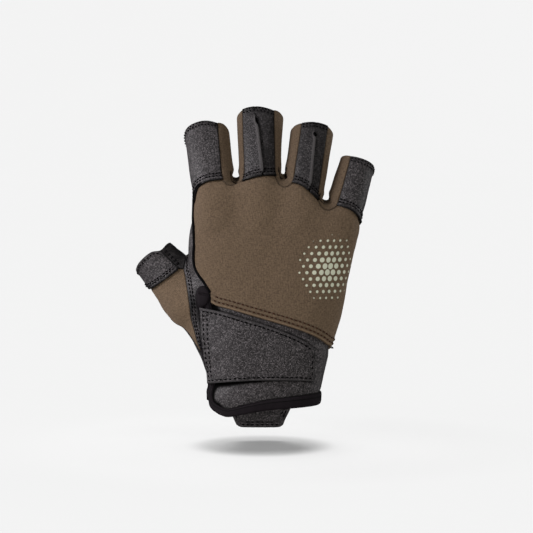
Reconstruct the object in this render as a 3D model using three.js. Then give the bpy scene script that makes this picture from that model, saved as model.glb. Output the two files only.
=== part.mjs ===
// A half-finger weightlifting glove for the right hand, in the form that it has when it is worn.
// X runs across the hand towards the little finger, -Y is the back of the hand and +Z points to the tips of
// the fingers. The origin is the middle of the wrist opening. All sizes are millimetres.
import * as THREE from 'three';
import { mergeVertices } from 'three/addons/utils/BufferGeometryUtils.js';

const DEGREE = Math.PI / 180;
const LEATHER_WALL = 1.5;
const STRETCH_WALL = 2.0;
const STRAP_WALL = 1.7;
const SEAM_GAP = 0.36; // between the edges of two panels that are sewn together
const LAYER_GAP = 0.35; // between a panel and one that lies on it
const BINDING_DEPTH = 2.9;
const BINDING_PROUD = 0.8; // how far the edge binding stands above the leather
const SLIT_BINDING_WIDTH = 4.2;

const COLOURS = { leather: 0x2f2d2f, stretch: 0x5b4d3c, binding: 0x1d1a1e, strap: 0x333132, thumb: 0x353335 };

// The wrist and the palm without fingers: outline from the back, and depth from the side, at each height.
const PALM = [
  { z: -16, left: -32.6, right: 35.2, back: -20.8, palm: 19.5 },
  { z: 0, left: -32.6, right: 35.0, back: -20.8, palm: 20.0 },
  { z: 15, left: -33.2, right: 37.8, back: -21.0, palm: 20.8 },
  { z: 26, left: -35.4, right: 40.6, back: -21.0, palm: 21.5 },
  { z: 38, left: -37.5, right: 44.8, back: -20.6, palm: 21.5 },
  { z: 52, left: -39.5, right: 48.7, back: -19.8, palm: 20.5 },
  { z: 66, left: -41.8, right: 51.0, back: -19.0, palm: 19.0 },
  { z: 80, left: -44.0, right: 54.0, back: -18.2, palm: 17.0 },
  { z: 94, left: -43.8, right: 56.6, back: -17.4, palm: 15.8 },
  { z: 106, left: -41.6, right: 58.6, back: -16.2, palm: 15.0 },
  { z: 118, left: -38.5, right: 57.5, back: -14.8, palm: 14.4 },
];
const PALM_ROUNDNESS = 2.5;

// The height of the webs between the fingers, on the middle plane of the hand.
const WEB = [
  { x: -44, z: 117 },
  { x: -18, z: 129 },
  { x: 13.5, z: 129.5 },
  { x: 40, z: 115.5 },
  { x: 60, z: 100 },
];
const WEB_SLOPE = 0.25; // the webs rise towards the palm
const WEB_ROUNDING = 7;

// Each finger is a tube that curls towards the palm: its foot and its end as seen from the back, half its
// width and depth at the foot, over the web and at the end, and how steeply it leans back at its end.
// rimSkew tips the open end sideways. Angles are measured round the finger, and -90 is its back.
const FINGERS = {
  index: {
    foot: [-26.2, 102], end: [-33.0, 154.2], foot_y: -2.4, lean: 0.72, rimSkew: -1.5,
    wide: [10.5, 13.0, 13.3], deep: [11.5, 13.2, 13.2],
  },
  middle: {
    foot: [-1.4, 102], end: [-1.2, 164.6], foot_y: -2.8, lean: 0.62, rimSkew: -1.4,
    wide: [10.5, 12.2, 14.0], deep: [12.0, 13.3, 13.3],
  },
  ring: {
    foot: [22.0, 102], end: [29.9, 156.9], foot_y: -2.6, lean: 0.56, rimSkew: 0.5,
    wide: [10.5, 12.3, 12.8], deep: [11.5, 12.8, 12.8],
  },
  little: {
    foot: [44.2, 94], end: [57.0, 138.0], foot_y: -1.6, lean: 0.42, rimSkew: 0.2,
    wide: [10.0, 11.4, 10.4], deep: [10.5, 11.6, 11.0],
  },
};
const FINGER_ROUNDNESS = 2.25;

// The thumb is two such tubes, from the wrist to the knuckle and from there to its open end.
const THUMB = {
  root: {
    foot: [-16, 14], end: [-41.0, 57.5], foot_y: 2.5, end_y: 9,
    wide: [9.0, 12.6, 16.5], deep: [12, 14, 15], past: 5,
  },
  tip: {
    foot: [-41.0, 57.5], end: [-64.5, 83.5], foot_y: 9, end_y: 13,
    wide: [16.5, 16.2, 14.0], deep: [15, 14.8, 14.0],
  },
};
const THUMB_ROUNDNESS = 2.1;
// Where the open end of the thumb lies past the end of its axis, at each angle round it.
const THUMB_RIM = [
  { angle: -215, past: -3.0 }, { angle: -180, past: 0.5 }, { angle: -166, past: 1.2 },
  { angle: -122, past: 3.4 }, { angle: -82, past: 2.7 }, { angle: -62, past: -0.4 },
  { angle: -28, past: -1.0 }, { angle: 0, past: -1.5 }, { angle: 45, past: -3.5 }, { angle: 90, past: -5.0 },
  { angle: 145, past: -3.0 },
];

// Cubic curve through the rows of a table, held level past both ends.
function profile(rows, input, output) {
  const t = rows.map((row) => row[input]);
  const v = rows.map((row) => row[output]);
  const last = t.length - 1;
  const slope = t.map((_, i) => {
    const a = Math.max(i - 1, 0);
    const b = Math.min(i + 1, last);
    return (v[b] - v[a]) / (t[b] - t[a]);
  });
  return (x) => {
    const q = Math.min(Math.max(x, t[0]), t[last]);
    let i = 0;
    while (i < last - 1 && q > t[i + 1]) i += 1;
    const h = t[i + 1] - t[i];
    const s = (q - t[i]) / h;
    const rise = (s * s) * (3 - 2 * s);
    return v[i] * (1 - rise) + v[i + 1] * rise
      + h * s * (1 - s) * ((1 - s) * slope[i] - s * slope[i + 1]);
  };
}

const lerp = (a, b, t) => a + (b - a) * t;
const add = (p, q, k = 1) => [p[0] + k * q[0], p[1] + k * q[1], p[2] + k * q[2]];
const subtract = (p, q) => add(p, q, -1);
const dot = (p, q) => p[0] * q[0] + p[1] * q[1] + p[2] * q[2];
const cross = (p, q) => [p[1] * q[2] - p[2] * q[1], p[2] * q[0] - p[0] * q[2], p[0] * q[1] - p[1] * q[0]];
const unit = (p) => add([0, 0, 0], p, 1 / Math.hypot(...p));
const steps = (n) => Array.from({ length: n + 1 }, (_, i) => i / n);

const palmLeft = profile(PALM, 'z', 'left');
const palmRight = profile(PALM, 'z', 'right');
const palmBack = profile(PALM, 'z', 'back');
const palmFront = profile(PALM, 'z', 'palm');
const webHeight = profile(WEB, 'x', 'z');
const thumbRimPast = profile(THUMB_RIM, 'angle', 'past');

// Signed distance to a rounded section with half sizes a and b, negative inside.
function sectionDistance(w, y, a, b, power) {
  const u = Math.abs(w) / a;
  const v = Math.abs(y) / b;
  const size = (u ** power + v ** power) ** (1 / power);
  if (size < 1e-4) return -Math.min(a, b);
  return (size - 1) / Math.hypot((u / size) ** (power - 1) / a, (v / size) ** (power - 1) / b);
}

function smoothMin(a, b, blend) {
  const h = Math.max(blend - Math.abs(a - b), 0) / blend;
  return Math.min(a, b) - h * h * blend / 4;
}
const smoothMax = (a, b, blend) => -smoothMin(-a, -b, blend);

// A tube's own frame: along runs from its foot to its end, side across it, and centreY gives its curl.
function tube({ foot, end, foot_y, end_y, lean, wide, deep, rimSkew = 0, past = 100 }, power) {
  const length = Math.hypot(end[0] - foot[0], end[1] - foot[1]);
  const along = [(end[0] - foot[0]) / length, 0, (end[1] - foot[1]) / length];
  const side = [along[2], 0, -along[0]];
  const centreY = (s) => (lean === undefined
    ? lerp(foot_y, end_y, s / length)
    : foot_y + lean * Math.max(s, 0) ** 2 / (2 * length));
  const stations = [0, 0.5, 1].map((t, i) => ({ s: t * length, a: wide[i], b: deep[i] }));
  const halfWidth = profile(stations, 's', 'a');
  const halfDepth = profile(stations, 's', 'b');
  const coordinates = (p) => {
    const q = [p[0] - foot[0], 0, p[2] - foot[1]];
    const s = dot(q, along);
    return { s, w: dot(q, side), y: p[1] - centreY(s) };
  };
  const distance = (p) => {
    const { s, w, y } = coordinates(p);
    const round = sectionDistance(w, y, halfWidth(s), halfDepth(s), power);
    return smoothMax(smoothMax(round, -s, 4), s - length - past, 8);
  };
  const axis = (s) => [foot[0] + s * along[0], centreY(s), foot[1] + s * along[2]];
  return { length, along, side, axis, coordinates, distance, halfWidth, halfDepth, lean, rimSkew };
}

const fingers = Object.fromEntries(Object.entries(FINGERS)
  .map(([name, spec]) => [name, tube(spec, FINGER_ROUNDNESS)]));
const thumbRoot = tube(THUMB.root, THUMB_ROUNDNESS);
const thumbTip = tube(THUMB.tip, THUMB_ROUNDNESS);

function palmDistance(p) {
  const left = palmLeft(p[2]);
  const right = palmRight(p[2]);
  const back = palmBack(p[2]);
  const palm = palmFront(p[2]);
  const round = sectionDistance(p[0] - (left + right) / 2, p[1] - (back + palm) / 2,
    (right - left) / 2, (palm - back) / 2, PALM_ROUNDNESS);
  return smoothMax(round, p[2] - webHeight(p[0]) - WEB_SLOPE * p[1], WEB_ROUNDING);
}

function handDistance(p) {
  let spread = fingers.index.distance(p);
  for (const name of ['middle', 'ring', 'little']) spread = smoothMin(spread, fingers[name].distance(p), 3);
  return smoothMin(palmDistance(p), spread, 6);
}
const thumbDistance = (p) => smoothMin(thumbRoot.distance(p), thumbTip.distance(p), 9);

// The outside of the glove: negative inside, zero on the outer face of the panels.
const form = (p) => smoothMin(handDistance(p), thumbDistance(p), 8);

function normalAt(p) {
  const e = 0.15;
  return unit([0, 1, 2].map((k) => {
    const step = [0, 0, 0];
    step[k] = e;
    return form(add(p, step)) - form(subtract(p, step));
  }));
}

// The first point where a ray from inside the glove, or from inside one part of it, leaves it.
function press({ from, to }, body = form) {
  const stride = 1.5;
  const reach = 75;
  let t = 0;
  while (t < reach && body(add(from, to, t + stride)) < 0) t += stride;
  let low = t;
  let high = t + stride;
  for (let i = 0; i < 24; i += 1) {
    const middle = (low + high) / 2;
    if (body(add(from, to, middle)) < 0) low = middle;
    else high = middle;
  }
  return add(from, to, high);
}

// Charts turn two surface coordinates into a ray, and a surface point into its coordinates.

// Round the palm: girth is in millimetres from the middle of the back (facing -1) or of the palm (facing 1).
function girthChart(facing) {
  const at = (z) => {
    const left = palmLeft(z);
    const right = palmRight(z);
    const depth = (palmFront(z) - palmBack(z)) / 2;
    return {
      x: (left + right) / 2, y: (palmFront(z) + palmBack(z)) / 2, depth, flat: (right - left) / 2 - depth,
    };
  };
  return {
    at,
    ray([girth, z]) {
      const { x, y, depth, flat } = at(z);
      const sign = Math.sign(girth);
      const past = Math.abs(girth) - flat;
      if (past <= 0) return { from: [x + girth, y, z], to: [0, facing, 0] };
      const turn = past / depth;
      if (turn <= Math.PI) {
        return { from: [x + sign * flat, y, z], to: [sign * Math.sin(turn), facing * Math.cos(turn), 0] };
      }
      return { from: [x + sign * (flat - past + Math.PI * depth), y, z], to: [0, -facing, 0] };
    },
    locate(p) {
      const { x, y, depth, flat } = at(p[2]);
      const sign = Math.sign(p[0] - x);
      const out = Math.abs(p[0] - x) - flat;
      const ahead = facing * (p[1] - y);
      if (out <= 0) return [ahead > 0 ? p[0] - x : sign * (flat + Math.PI * depth - out), p[2]];
      return [sign * (flat + depth * Math.atan2(out, ahead)), p[2]];
    },
  };
}

// Round a tube: the angle from its side, kept within half a turn of middle, and the distance along it.
function tubeChart(t, middle) {
  return {
    ray([angle, s]) {
      const c = Math.cos(angle * DEGREE);
      return { from: t.axis(s), to: [c * t.side[0], Math.sin(angle * DEGREE), c * t.side[2]] };
    },
    locate(p) {
      const { s, w, y } = t.coordinates(p);
      const raw = Math.atan2(y, w) / DEGREE;
      return [raw + 360 * Math.round((middle - raw) / 360), s];
    },
  };
}

// Round the whole thumb, whose axis bends from the wrist to its open end.
function thumbChart(middle) {
  const foot = thumbRoot.axis(0);
  const knuckle = thumbTip.axis(0);
  const end = thumbTip.axis(thumbTip.length);
  const pull = add(add(add([0, 0, 0], knuckle, 2), foot, -0.5), end, -0.5);
  const axis = (t) => add(add(add([0, 0, 0], foot, (1 - t) ** 2), pull, 2 * t * (1 - t)), end, t * t);
  const tangent = (t) => {
    const d = add(add(add([0, 0, 0], foot, -2 * (1 - t)), pull, 2 - 4 * t), end, 2 * t);
    return unit([d[0], 0, d[2]]);
  };
  return {
    ray([angle, t]) {
      const d = tangent(t);
      const c = Math.cos(angle * DEGREE);
      return { from: axis(t), to: [c * d[2], Math.sin(angle * DEGREE), -c * d[0]] };
    },
    locate(p) {
      let low = -0.4;
      let high = 1.3;
      for (let i = 0; i < 40; i += 1) {
        const t = (low + high) / 2;
        if (dot(subtract(p, axis(t)), tangent(t)) > 0) low = t;
        else high = t;
      }
      const d = tangent(low);
      const q = subtract(p, axis(low));
      const raw = Math.atan2(q[1], q[0] * d[2] - q[2] * d[0]) / DEGREE;
      return [raw + 360 * Math.round((middle - raw) / 360), low];
    },
  };
}

const backChart = girthChart(-1);
const palmChart = girthChart(1);

// The deepest place of the form on the line of sight through a point of the back view.
function insideAt([x, z]) {
  const guesses = [(palmBack(z) + palmFront(z)) / 2];
  for (const t of [...Object.values(fingers), thumbRoot, thumbTip]) {
    guesses.push(t.axis(t.coordinates([x, 0, z]).s)[1]);
  }
  const depth = (y) => form([x, y, z]);
  return guesses.reduce((best, y) => (depth(y) < depth(best) ? y : best));
}

// The nearest point of the form, for a guess that is close to it.
function settle(guess) {
  let p = guess;
  for (let i = 0; i < 12; i += 1) p = add(p, normalAt(p), -0.9 * form(p));
  return p;
}
// Spreads a patch evenly in space, for surfaces that no ray chart reaches.
const spaceChart = { locate: (p) => p, put: settle };
// Presses on one part of the form first, where a ray would run on into another part.
const within = (chart, body) => ({ ...chart, put: (place) => settle(press(chart.ray(place), body)) });
const surfacePoint = (chart, place) => (chart.put ? chart.put(place) : press(chart.ray(place)));

// Points of the back view, [x, z], carried on to the form.
const onBack = (points) => points.map(([x, z]) => press({ from: [x, insideAt([x, z]), z], to: [0, -1, 0] }));

// A run of points between two ends in a chart, with an optional bow in the second coordinate.
function run(chart, start, end, count, bow = 0) {
  const a = chart.locate(start);
  const b = chart.locate(end);
  return steps(count).map((t) => {
    if (t === 0) return start;
    if (t === 1) return end;
    return surfacePoint(chart, [lerp(a[0], b[0], t), lerp(a[1], b[1], t) + bow * Math.sin(Math.PI * t)]);
  });
}

// A smooth curve through places of a chart, between two points.
function trace(chart, start, places, end, count) {
  const rows = [chart.locate(start), ...places, chart.locate(end)].map(([u, v]) => [u, v, 0]);
  return resample(rows, count).map(([u, v], i) => {
    if (i === 0) return start;
    return i === count ? end : surfacePoint(chart, [u, v]);
  });
}

// The same curve with another number of steps, evenly spaced along it.
function resample(points, count) {
  const lengths = [0];
  for (let i = 1; i < points.length; i += 1) {
    lengths.push(lengths[i - 1] + Math.hypot(...subtract(points[i], points[i - 1])));
  }
  const rows = points.map((p, i) => ({ t: lengths[i], x: p[0], y: p[1], z: p[2] }));
  const [x, y, z] = ['x', 'y', 'z'].map((key) => profile(rows, 't', key));
  const total = lengths[lengths.length - 1];
  return steps(count).map((t) => [x(t * total), y(t * total), z(t * total)]);
}

const joined = (...runs) => runs.flatMap((points, i) => (i ? points.slice(1) : points));
const reversed = (points) => [...points].reverse();

// A patch between four edges of points: the inside is spread evenly in the chart and brought on to the form.
function patch(chart, bottom, top, left, right) {
  const across = bottom.length - 1;
  const up = left.length - 1;
  const [b, t, l, r] = [bottom, top, left, right].map((edge) => edge.map((p) => chart.locate(p)));
  return left.map((_, j) => bottom.map((__, i) => {
    if (j === 0) return bottom[i];
    if (j === up) return top[i];
    if (i === 0) return left[j];
    if (i === across) return right[j];
    const u = i / across;
    const v = j / up;
    return surfacePoint(chart, b[i].map((___, k) => lerp(b[i][k], t[i][k], v) + lerp(l[j][k], r[j][k], u)
      - lerp(lerp(b[0][k], b[across][k], u), lerp(t[0][k], t[across][k], u), v)));
  }));
}

// Joins patches that share edges into one wall. rise(i, j, grid) lifts a point above the form.
function wall(patches, thickness, rise = () => 0) {
  const points = [];
  const index = new Map();
  const faces = [];
  for (const grid of patches) {
    const ids = grid.map((row, j) => row.map((p, i) => {
      const key = p.map((v) => v.toFixed(3)).join(' ');
      if (!index.has(key)) {
        index.set(key, points.length);
        points.push({ at: p, rise: rise(i, j, grid) });
      }
      return index.get(key);
    }));
    const quads = ids.slice(1).flatMap((row, j) => row.slice(1).map((_, i) => (
      [ids[j][i], ids[j][i + 1], ids[j + 1][i + 1], ids[j + 1][i]])));
    // A patch faces out or in as a whole.
    const facing = quads.reduce((sum, quad) => {
      const [a, b, c, d] = quad.map((k) => points[k].at);
      return sum + dot(cross(subtract(c, a), subtract(d, b)), normalAt(a));
    }, 0);
    faces.push(...quads.map((quad) => (facing < 0 ? [...quad].reverse() : quad)));
  }
  const normals = points.map(({ at }) => normalAt(at));
  const edges = new Map();
  for (const face of faces) {
    face.forEach((a, k) => {
      const b = face[(k + 1) % 4];
      if (a === b) return;
      if (edges.has(`${b} ${a}`)) edges.delete(`${b} ${a}`);
      else edges.set(`${a} ${b}`, [a, b]);
    });
  }
  // Each free edge is drawn back by half a seam gap, in the surface.
  const inward = new Map();
  for (const [a, b] of edges.values()) {
    const across = unit(cross(normals[a], subtract(points[b].at, points[a].at)));
    for (const k of [a, b]) inward.set(k, add(inward.get(k) ?? [0, 0, 0], across));
  }
  for (const [k, direction] of inward) {
    points[k].at = add(points[k].at, unit(direction), SEAM_GAP / 2);
  }
  const outer = points.map(({ at, rise: lift }, k) => add(at, normals[k], lift));
  const inner = outer.map((p, k) => add(p, normals[k], -thickness));
  const corners = [...outer, ...inner];
  const n = points.length;
  const triangles = [];
  const quad = (a, b, c, d) => triangles.push([a, b, c], [a, c, d]);
  for (const [a, b, c, d] of faces) {
    quad(a, b, c, d);
    quad(n + d, n + c, n + b, n + a);
  }
  for (const [a, b] of edges.values()) quad(b, a, n + a, n + b);
  return solid(corners, triangles.filter(([a, b, c]) => a !== b && b !== c && c !== a));
}

function solid(corners, triangles) {
  const geometry = new THREE.BufferGeometry();
  geometry.setAttribute('position', new THREE.Float32BufferAttribute(corners.flat(), 3));
  geometry.setIndex(triangles.flat());
  const shape = mergeVertices(geometry, 1e-4);
  shape.computeVertexNormals();
  return shape;
}

const glove = new THREE.Group();
glove.name = 'glove';

function piece(name, geometry, finish) {
  const roughness = finish === 'stretch' ? 0.9 : 0.6;
  const material = new THREE.MeshStandardMaterial({ color: COLOURS[finish], roughness, metalness: 0 });
  const mesh = new THREE.Mesh(geometry, material);
  mesh.name = name;
  glove.add(mesh);
}

// Seams of the back view, [x, z], each from the thumb side towards the little finger or from the wrist up.
const INDEX_HEM = [
  [-40.8, 117.3], [-40.1, 121.8], [-38.7, 125.1], [-36.3, 127.2], [-32.8, 128.8], [-28.5, 129.5],
  [-23.9, 130.0],
];
const MIDDLE_HEM = [[-11.4, 129.1], [-7.8, 130.4], [-3.5, 131.6], [0.6, 132.2], [4.5, 132.4], [8.1, 132.1]];
const RING_HEM = [[18.6, 128.2], [21.9, 127.3], [25.7, 125.3], [28.8, 122.8], [31.7, 120.2], [34.0, 117.7]];
const LITTLE_HEM = [[45.5, 114.5], [49.5, 113.3], [53.3, 111.8], [56.1, 109.7], [58.2, 107.1], [59.4, 104.1]];
const WEB_SEAMS = {
  index_middle: [
    [-23.9, 130.0], [-23.0, 128.2], [-21.1, 126.5], [-18.6, 125.8], [-16.2, 126.6], [-13.8, 127.9],
    [-11.4, 129.1],
  ],
  middle_ring: [
    [8.1, 132.1], [8.6, 129.6], [10.0, 126.9], [12.4, 125.0], [15.0, 124.9], [17.2, 126.4], [18.6, 128.2],
  ],
  ring_little: [
    [34.0, 117.7], [34.5, 115.0], [36.0, 112.5], [38.6, 111.0], [41.6, 111.4], [43.9, 112.8], [45.5, 114.5],
  ],
};
const BACK_LEFT = [
  [-30.3, 54.9], [-30.8, 60.4], [-32.4, 64.6], [-35.2, 68.2], [-38.0, 72.0],
  [-40.2, 76.6], [-41.0, 82.0], [-40.7, 90.0], [-40.9, 99.0], [-41.1, 108.0], [-40.8, 117.3],
];
const STRIP_TOP = 6; // where in this list the side strip ends, level with the crotch of the thumb
const BACK_BOTTOM = [
  { x: -30.3, z: 54.9 }, { x: -18.6, z: 51.6 }, { x: -7.2, z: 48.9 }, { x: 5.4, z: 44.1 },
  { x: 20.4, z: 39.6 }, { x: 30.9, z: 35.5 }, { x: 37.2, z: 32.1 }, { x: 40.4, z: 28.6 },
];
const THUMB_SEAM = [
  [-37.0, 26.4], [-38.6, 30.6], [-40.1, 36.0], [-41.6, 41.6], [-42.9, 47.0],
  [-43.5, 52.6], [-44.3, 58.8], [-45.2, 65.2], [-46.1, 71.2], [-46.6, 73.8], [-47.0, 75.6],
];

// Angles of the seams at the open end of each finger, and how far up the palm side they start.
const SEAMS = {
  index: { right: -58, palmRight: 50, palmRightFoot: 34 },
  middle: {
    left: -131, right: -54, ridge: -98, palmLeft: 130, palmRight: 50, palmLeftFoot: 34, palmRightFoot: 35,
  },
  ring: {
    left: -121, right: -48, ridge: -81, palmLeft: 130, palmRight: 50, palmLeftFoot: 31, palmRightFoot: 22,
  },
  little: { left: -116, palmLeft: 130, palmLeftFoot: 27 },
};
const FINGER_ROWS = 5;
const RIGHT_SEAM_TURN = 125; // degrees round the little finger side, where the back meets the palm leather

const rimAt = (t, angle) => t.length + t.rimSkew * Math.cos(angle * DEGREE)
  - t.lean * t.halfDepth(t.length) * Math.sin(angle * DEGREE);
const chartOf = {
  index: tubeChart(fingers.index, -184),
  middle: tubeChart(fingers.middle, -90),
  ring: tubeChart(fingers.ring, -90),
  little: tubeChart(fingers.little, 8),
};
const palmChartOf = {
  index: tubeChart(fingers.index, 50),
  middle: tubeChart(fingers.middle, 90),
  ring: tubeChart(fingers.ring, 90),
  little: chartOf.little,
};
const rimPoint = (name, angle) => press(chartOf[name].ray([angle, rimAt(fingers[name], angle)]));
const rim = (name, from, to, count) => steps(count).map((t) => rimPoint(name, lerp(from, to, t)));
const palmFoot = (name, side) => {
  const seam = SEAMS[name];
  return press(chartOf[name].ray([seam[`palm${side}`], seam[`palm${side}Foot`]]));
};

const hems = {
  index: onBack(INDEX_HEM), middle: onBack(MIDDLE_HEM), ring: onBack(RING_HEM), little: onBack(LITTLE_HEM),
};
const webs = Object.fromEntries(Object.entries(WEB_SEAMS).map(([name, points]) => [name, onBack(points)]));
const backCorner = hems.index[0];

// The side seams of the fingers, from the web to the open end.
const seams = {
  index: { right: run(chartOf.index, hems.index.at(-1), rimPoint('index', SEAMS.index.right), FINGER_ROWS) },
  middle: {
    left: run(chartOf.middle, hems.middle[0], rimPoint('middle', SEAMS.middle.left), FINGER_ROWS),
    ridge: run(chartOf.middle, hems.middle[3], rimPoint('middle', SEAMS.middle.ridge), FINGER_ROWS),
    right: run(chartOf.middle, hems.middle.at(-1), rimPoint('middle', SEAMS.middle.right), FINGER_ROWS),
  },
  ring: {
    left: run(chartOf.ring, hems.ring[0], rimPoint('ring', SEAMS.ring.left), FINGER_ROWS),
    ridge: run(chartOf.ring, hems.ring[3], rimPoint('ring', SEAMS.ring.ridge), FINGER_ROWS),
    right: run(chartOf.ring, hems.ring.at(-1), rimPoint('ring', SEAMS.ring.right), FINGER_ROWS),
  },
  little: { left: run(chartOf.little, hems.little[0], rimPoint('little', SEAMS.little.left), FINGER_ROWS) },
};
const palmSeam = (name, side) => run(palmChartOf[name], palmFoot(name, side),
  rimPoint(name, SEAMS[name][`palm${side}`]), FINGER_ROWS);
const palmSeams = {
  index: { right: palmSeam('index', 'Right') },
  middle: { left: palmSeam('middle', 'Left'), right: palmSeam('middle', 'Right') },
  ring: { left: palmSeam('ring', 'Left'), right: palmSeam('ring', 'Right') },
  little: { left: palmSeam('little', 'Left') },
};

// The palm side of each web: an arc that hangs from one seam foot to the next.
const WEB_STEPS = 6;
function palmWeb(start, end, sag) {
  return steps(WEB_STEPS).map((t) => {
    if (t === 0) return start;
    if (t === 1) return end;
    const x = lerp(start[0], end[0], (1 - Math.cos(Math.PI * t)) / 2);
    const z = lerp(start[2], end[2], t) - sag * Math.sin(Math.PI * t);
    return press({ from: [x, insideAt([x, z]), z], to: [0, 1, 0] });
  });
}
const palmWebs = {
  index_middle: palmWeb(palmSeams.index.right[0], palmSeams.middle.left[0], 6),
  middle_ring: palmWeb(palmSeams.middle.right[0], palmSeams.ring.left[0], 6.5),
  ring_little: palmWeb(palmSeams.ring.right[0], palmSeams.little.left[0], 6),
};

// The seam on the little finger side between the back and the palm leather, from the wrist up.
const seamGirth = (z) => {
  const { flat, depth } = backChart.at(z);
  return flat + depth * RIGHT_SEAM_TURN * DEGREE;
};
const rightSeam = (from, to, count) => steps(count).map((t) => {
  const z = lerp(from, to, t);
  return press(backChart.ray([seamGirth(z), z]));
});
const LITTLE_SIDE_Z = 101;
const HEM_SIDE_Z = 25.2;

// The strips that run up one finger, round the web and up the next.
const betweenFingers = [['index', 'middle'], ['middle', 'ring'], ['ring', 'little']];
for (const [a, b] of betweenFingers) {
  const front = joined(reversed(seams[a].right), webs[`${a}_${b}`], seams[b].left);
  const behind = joined(reversed(palmSeams[a].right), palmWebs[`${a}_${b}`], palmSeams[b].left);
  const across = 4;
  const start = rim(a, SEAMS[a].right, SEAMS[a].palmRight, across);
  const end = rim(b, SEAMS[b].left, SEAMS[b].palmLeft - 360, across);
  const strip = patch(spaceChart, front, behind, start, end);
  piece(`fourchette_${a}_${b}`, wall([strip], STRETCH_WALL), 'stretch');
}

// The leather on the back of the middle and ring fingers, in halves: the left one laps over the right one.
for (const name of ['middle', 'ring']) {
  const { left, ridge, right } = seams[name];
  const hem = hems[name];
  const chart = chartOf[name];
  const angles = SEAMS[name];
  const leftHalf = patch(chart, hem.slice(0, 4), rim(name, angles.left, angles.ridge, 3), left, ridge);
  const rightHalf = patch(chart, hem.slice(3), rim(name, angles.ridge, angles.right, 2), ridge, right);
  piece(`${name}_panel_left`, wall([leftHalf], LEATHER_WALL, (i) => 1.1 * (i / 3) ** 3), 'leather');
  piece(`${name}_panel_right`, wall([rightHalf], LEATHER_WALL, (i) => -0.5 * (1 - i / 2)), 'leather');
}

// The edge binding is one closed loop: round the wrist, up one side of the slit, round its end and down.
// Its path is given in the back chart, as girth and height, with the width of the binding there.
const WRIST_EDGE = [
  { girth: -28, low: -12.4, width: 4.8 }, { girth: -18, low: -12.1, width: 4.8 },
  { girth: -8, low: -10.2, width: 4.8 }, { girth: 4, low: -8.4, width: 4.8 },
  { girth: 16, low: -7.6, width: 5.2 }, { girth: 26, low: -6.9, width: 5.6 },
  { girth: 37, low: -6.0, width: 5.8 }, { girth: 47, low: -4.6, width: 5.4 },
  { girth: 60, low: -4.8, width: 5.0 }, { girth: 75, low: -5.8, width: 4.8 },
  { girth: 92, low: -6.4, width: 4.8 }, { girth: -78, low: -6.2, width: 4.8 },
  { girth: -65, low: -5.8, width: 4.8 },
];
const SLIT_END = [-35.6, 60.3];
const SLIT_END_RADIUS = 2.3;
const SLIT_FLAP_SIDE = [
  [-32.8, 55], [-31.6, 49], [-29.4, 38], [-28.6, 27], [-29.6, 16], [-30.9, 6], [-30.8, 0], [-29.2, -6],
];
const SLIT_PALM_SIDE = [{ turn: 97, z: -2 }, { turn: 93, z: 5 }, { turn: 82, z: 15 }, { turn: 70, z: 27 }];
const SLIT_PALM_SIDE_ABOVE = [[-35.5, 38], [-36.8, 48], [-37.6, 55]];
const girthOf = (turn, z) => {
  const { flat, depth } = backChart.at(z);
  return flat + depth * turn * DEGREE;
};
const slitEnd = backChart.locate(onBack([SLIT_END])[0]);
const onChart = (rows) => rows.map(({ at, width }) => ({ at: press(backChart.ray(at)), width }));
const bindingRuns = [
  {
    stations: 56,
    rows: onChart([
      ...WRIST_EDGE.map(({ girth, low, width }) => ({ at: [girth, low + width / 2], width })),
      { at: [-girthOf(113, -2.4), -2.7], width: 4.6 },
      { at: [-girthOf(102, -2.4), -1.2], width: 4.4 },
    ]),
  },
  {
    stations: 13,
    rows: onChart([
      ...SLIT_PALM_SIDE.map(({ turn, z }) => [-girthOf(turn, z), z]),
      ...onBack(SLIT_PALM_SIDE_ABOVE).map((p) => backChart.locate(p)),
    ].map((at) => ({ at, width: SLIT_BINDING_WIDTH }))),
  },
  {
    stations: 9,
    rows: onChart([180, 150, 120, 90, 60, 30, 0].map((angle) => {
      const x = SLIT_END_RADIUS * Math.cos(angle * DEGREE);
      const z = SLIT_END_RADIUS * Math.sin(angle * DEGREE);
      return { at: [slitEnd[0] + x, slitEnd[1] + z], width: SLIT_BINDING_WIDTH };
    })),
  },
  {
    stations: 20,
    rows: onBack(SLIT_FLAP_SIDE).map((at, i) => ({ at, width: i > 5 ? 4.7 : SLIT_BINDING_WIDTH })),
  },
];
const bindingPath = bindingRuns.flatMap(({ rows }) => rows);
const bindingLine = bindingRuns.flatMap(({ stations, rows }, k) => {
  const onward = bindingRuns[(k + 1) % bindingRuns.length].rows[0];
  return resample([...rows.map(({ at }) => at), onward.at], stations).slice(0, -1).map(settle);
});
const nearest = (points, p) => points.reduce((best, q, i) => (
  Math.hypot(...subtract(q, p)) < Math.hypot(...subtract(points[best], p)) ? i : best), 0);
const bindingFrames = bindingLine.map((p, i) => {
  const along = unit(subtract(bindingLine[(i + 1) % bindingLine.length], bindingLine.at(i - 1)));
  const out = normalAt(p);
  const rows = bindingPath.map((row) => ({ width: row.width, far: Math.hypot(...subtract(row.at, p)) }))
    .sort((a, b) => a.far - b.far);
  const width = (rows[0].width * rows[1].far + rows[1].width * rows[0].far) / (rows[0].far + rows[1].far);
  return { at: p, out, side: unit(cross(out, along)), width };
});
// The edge of the leather beside the binding, from one point of the loop to another.
function besideBinding(start, end, count) {
  const n = bindingFrames.length;
  const first = nearest(bindingLine, start);
  const last = nearest(bindingLine, end);
  const length = (last - first + n) % n;
  const edge = steps(length).map((_, k) => {
    const { at, side, width } = bindingFrames[(first + k) % n];
    return settle(add(at, side, width / 2 + SEAM_GAP / 2));
  });
  return resample(edge, count).map(settle);
}

const bindingSection = steps(8).slice(0, -1).map((t) => {
  const [c, d] = [Math.cos(2 * Math.PI * t), Math.sin(2 * Math.PI * t)];
  return [Math.sign(c) * Math.abs(c) ** 0.7, Math.sign(d) * Math.abs(d) ** 0.8];
});
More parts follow.
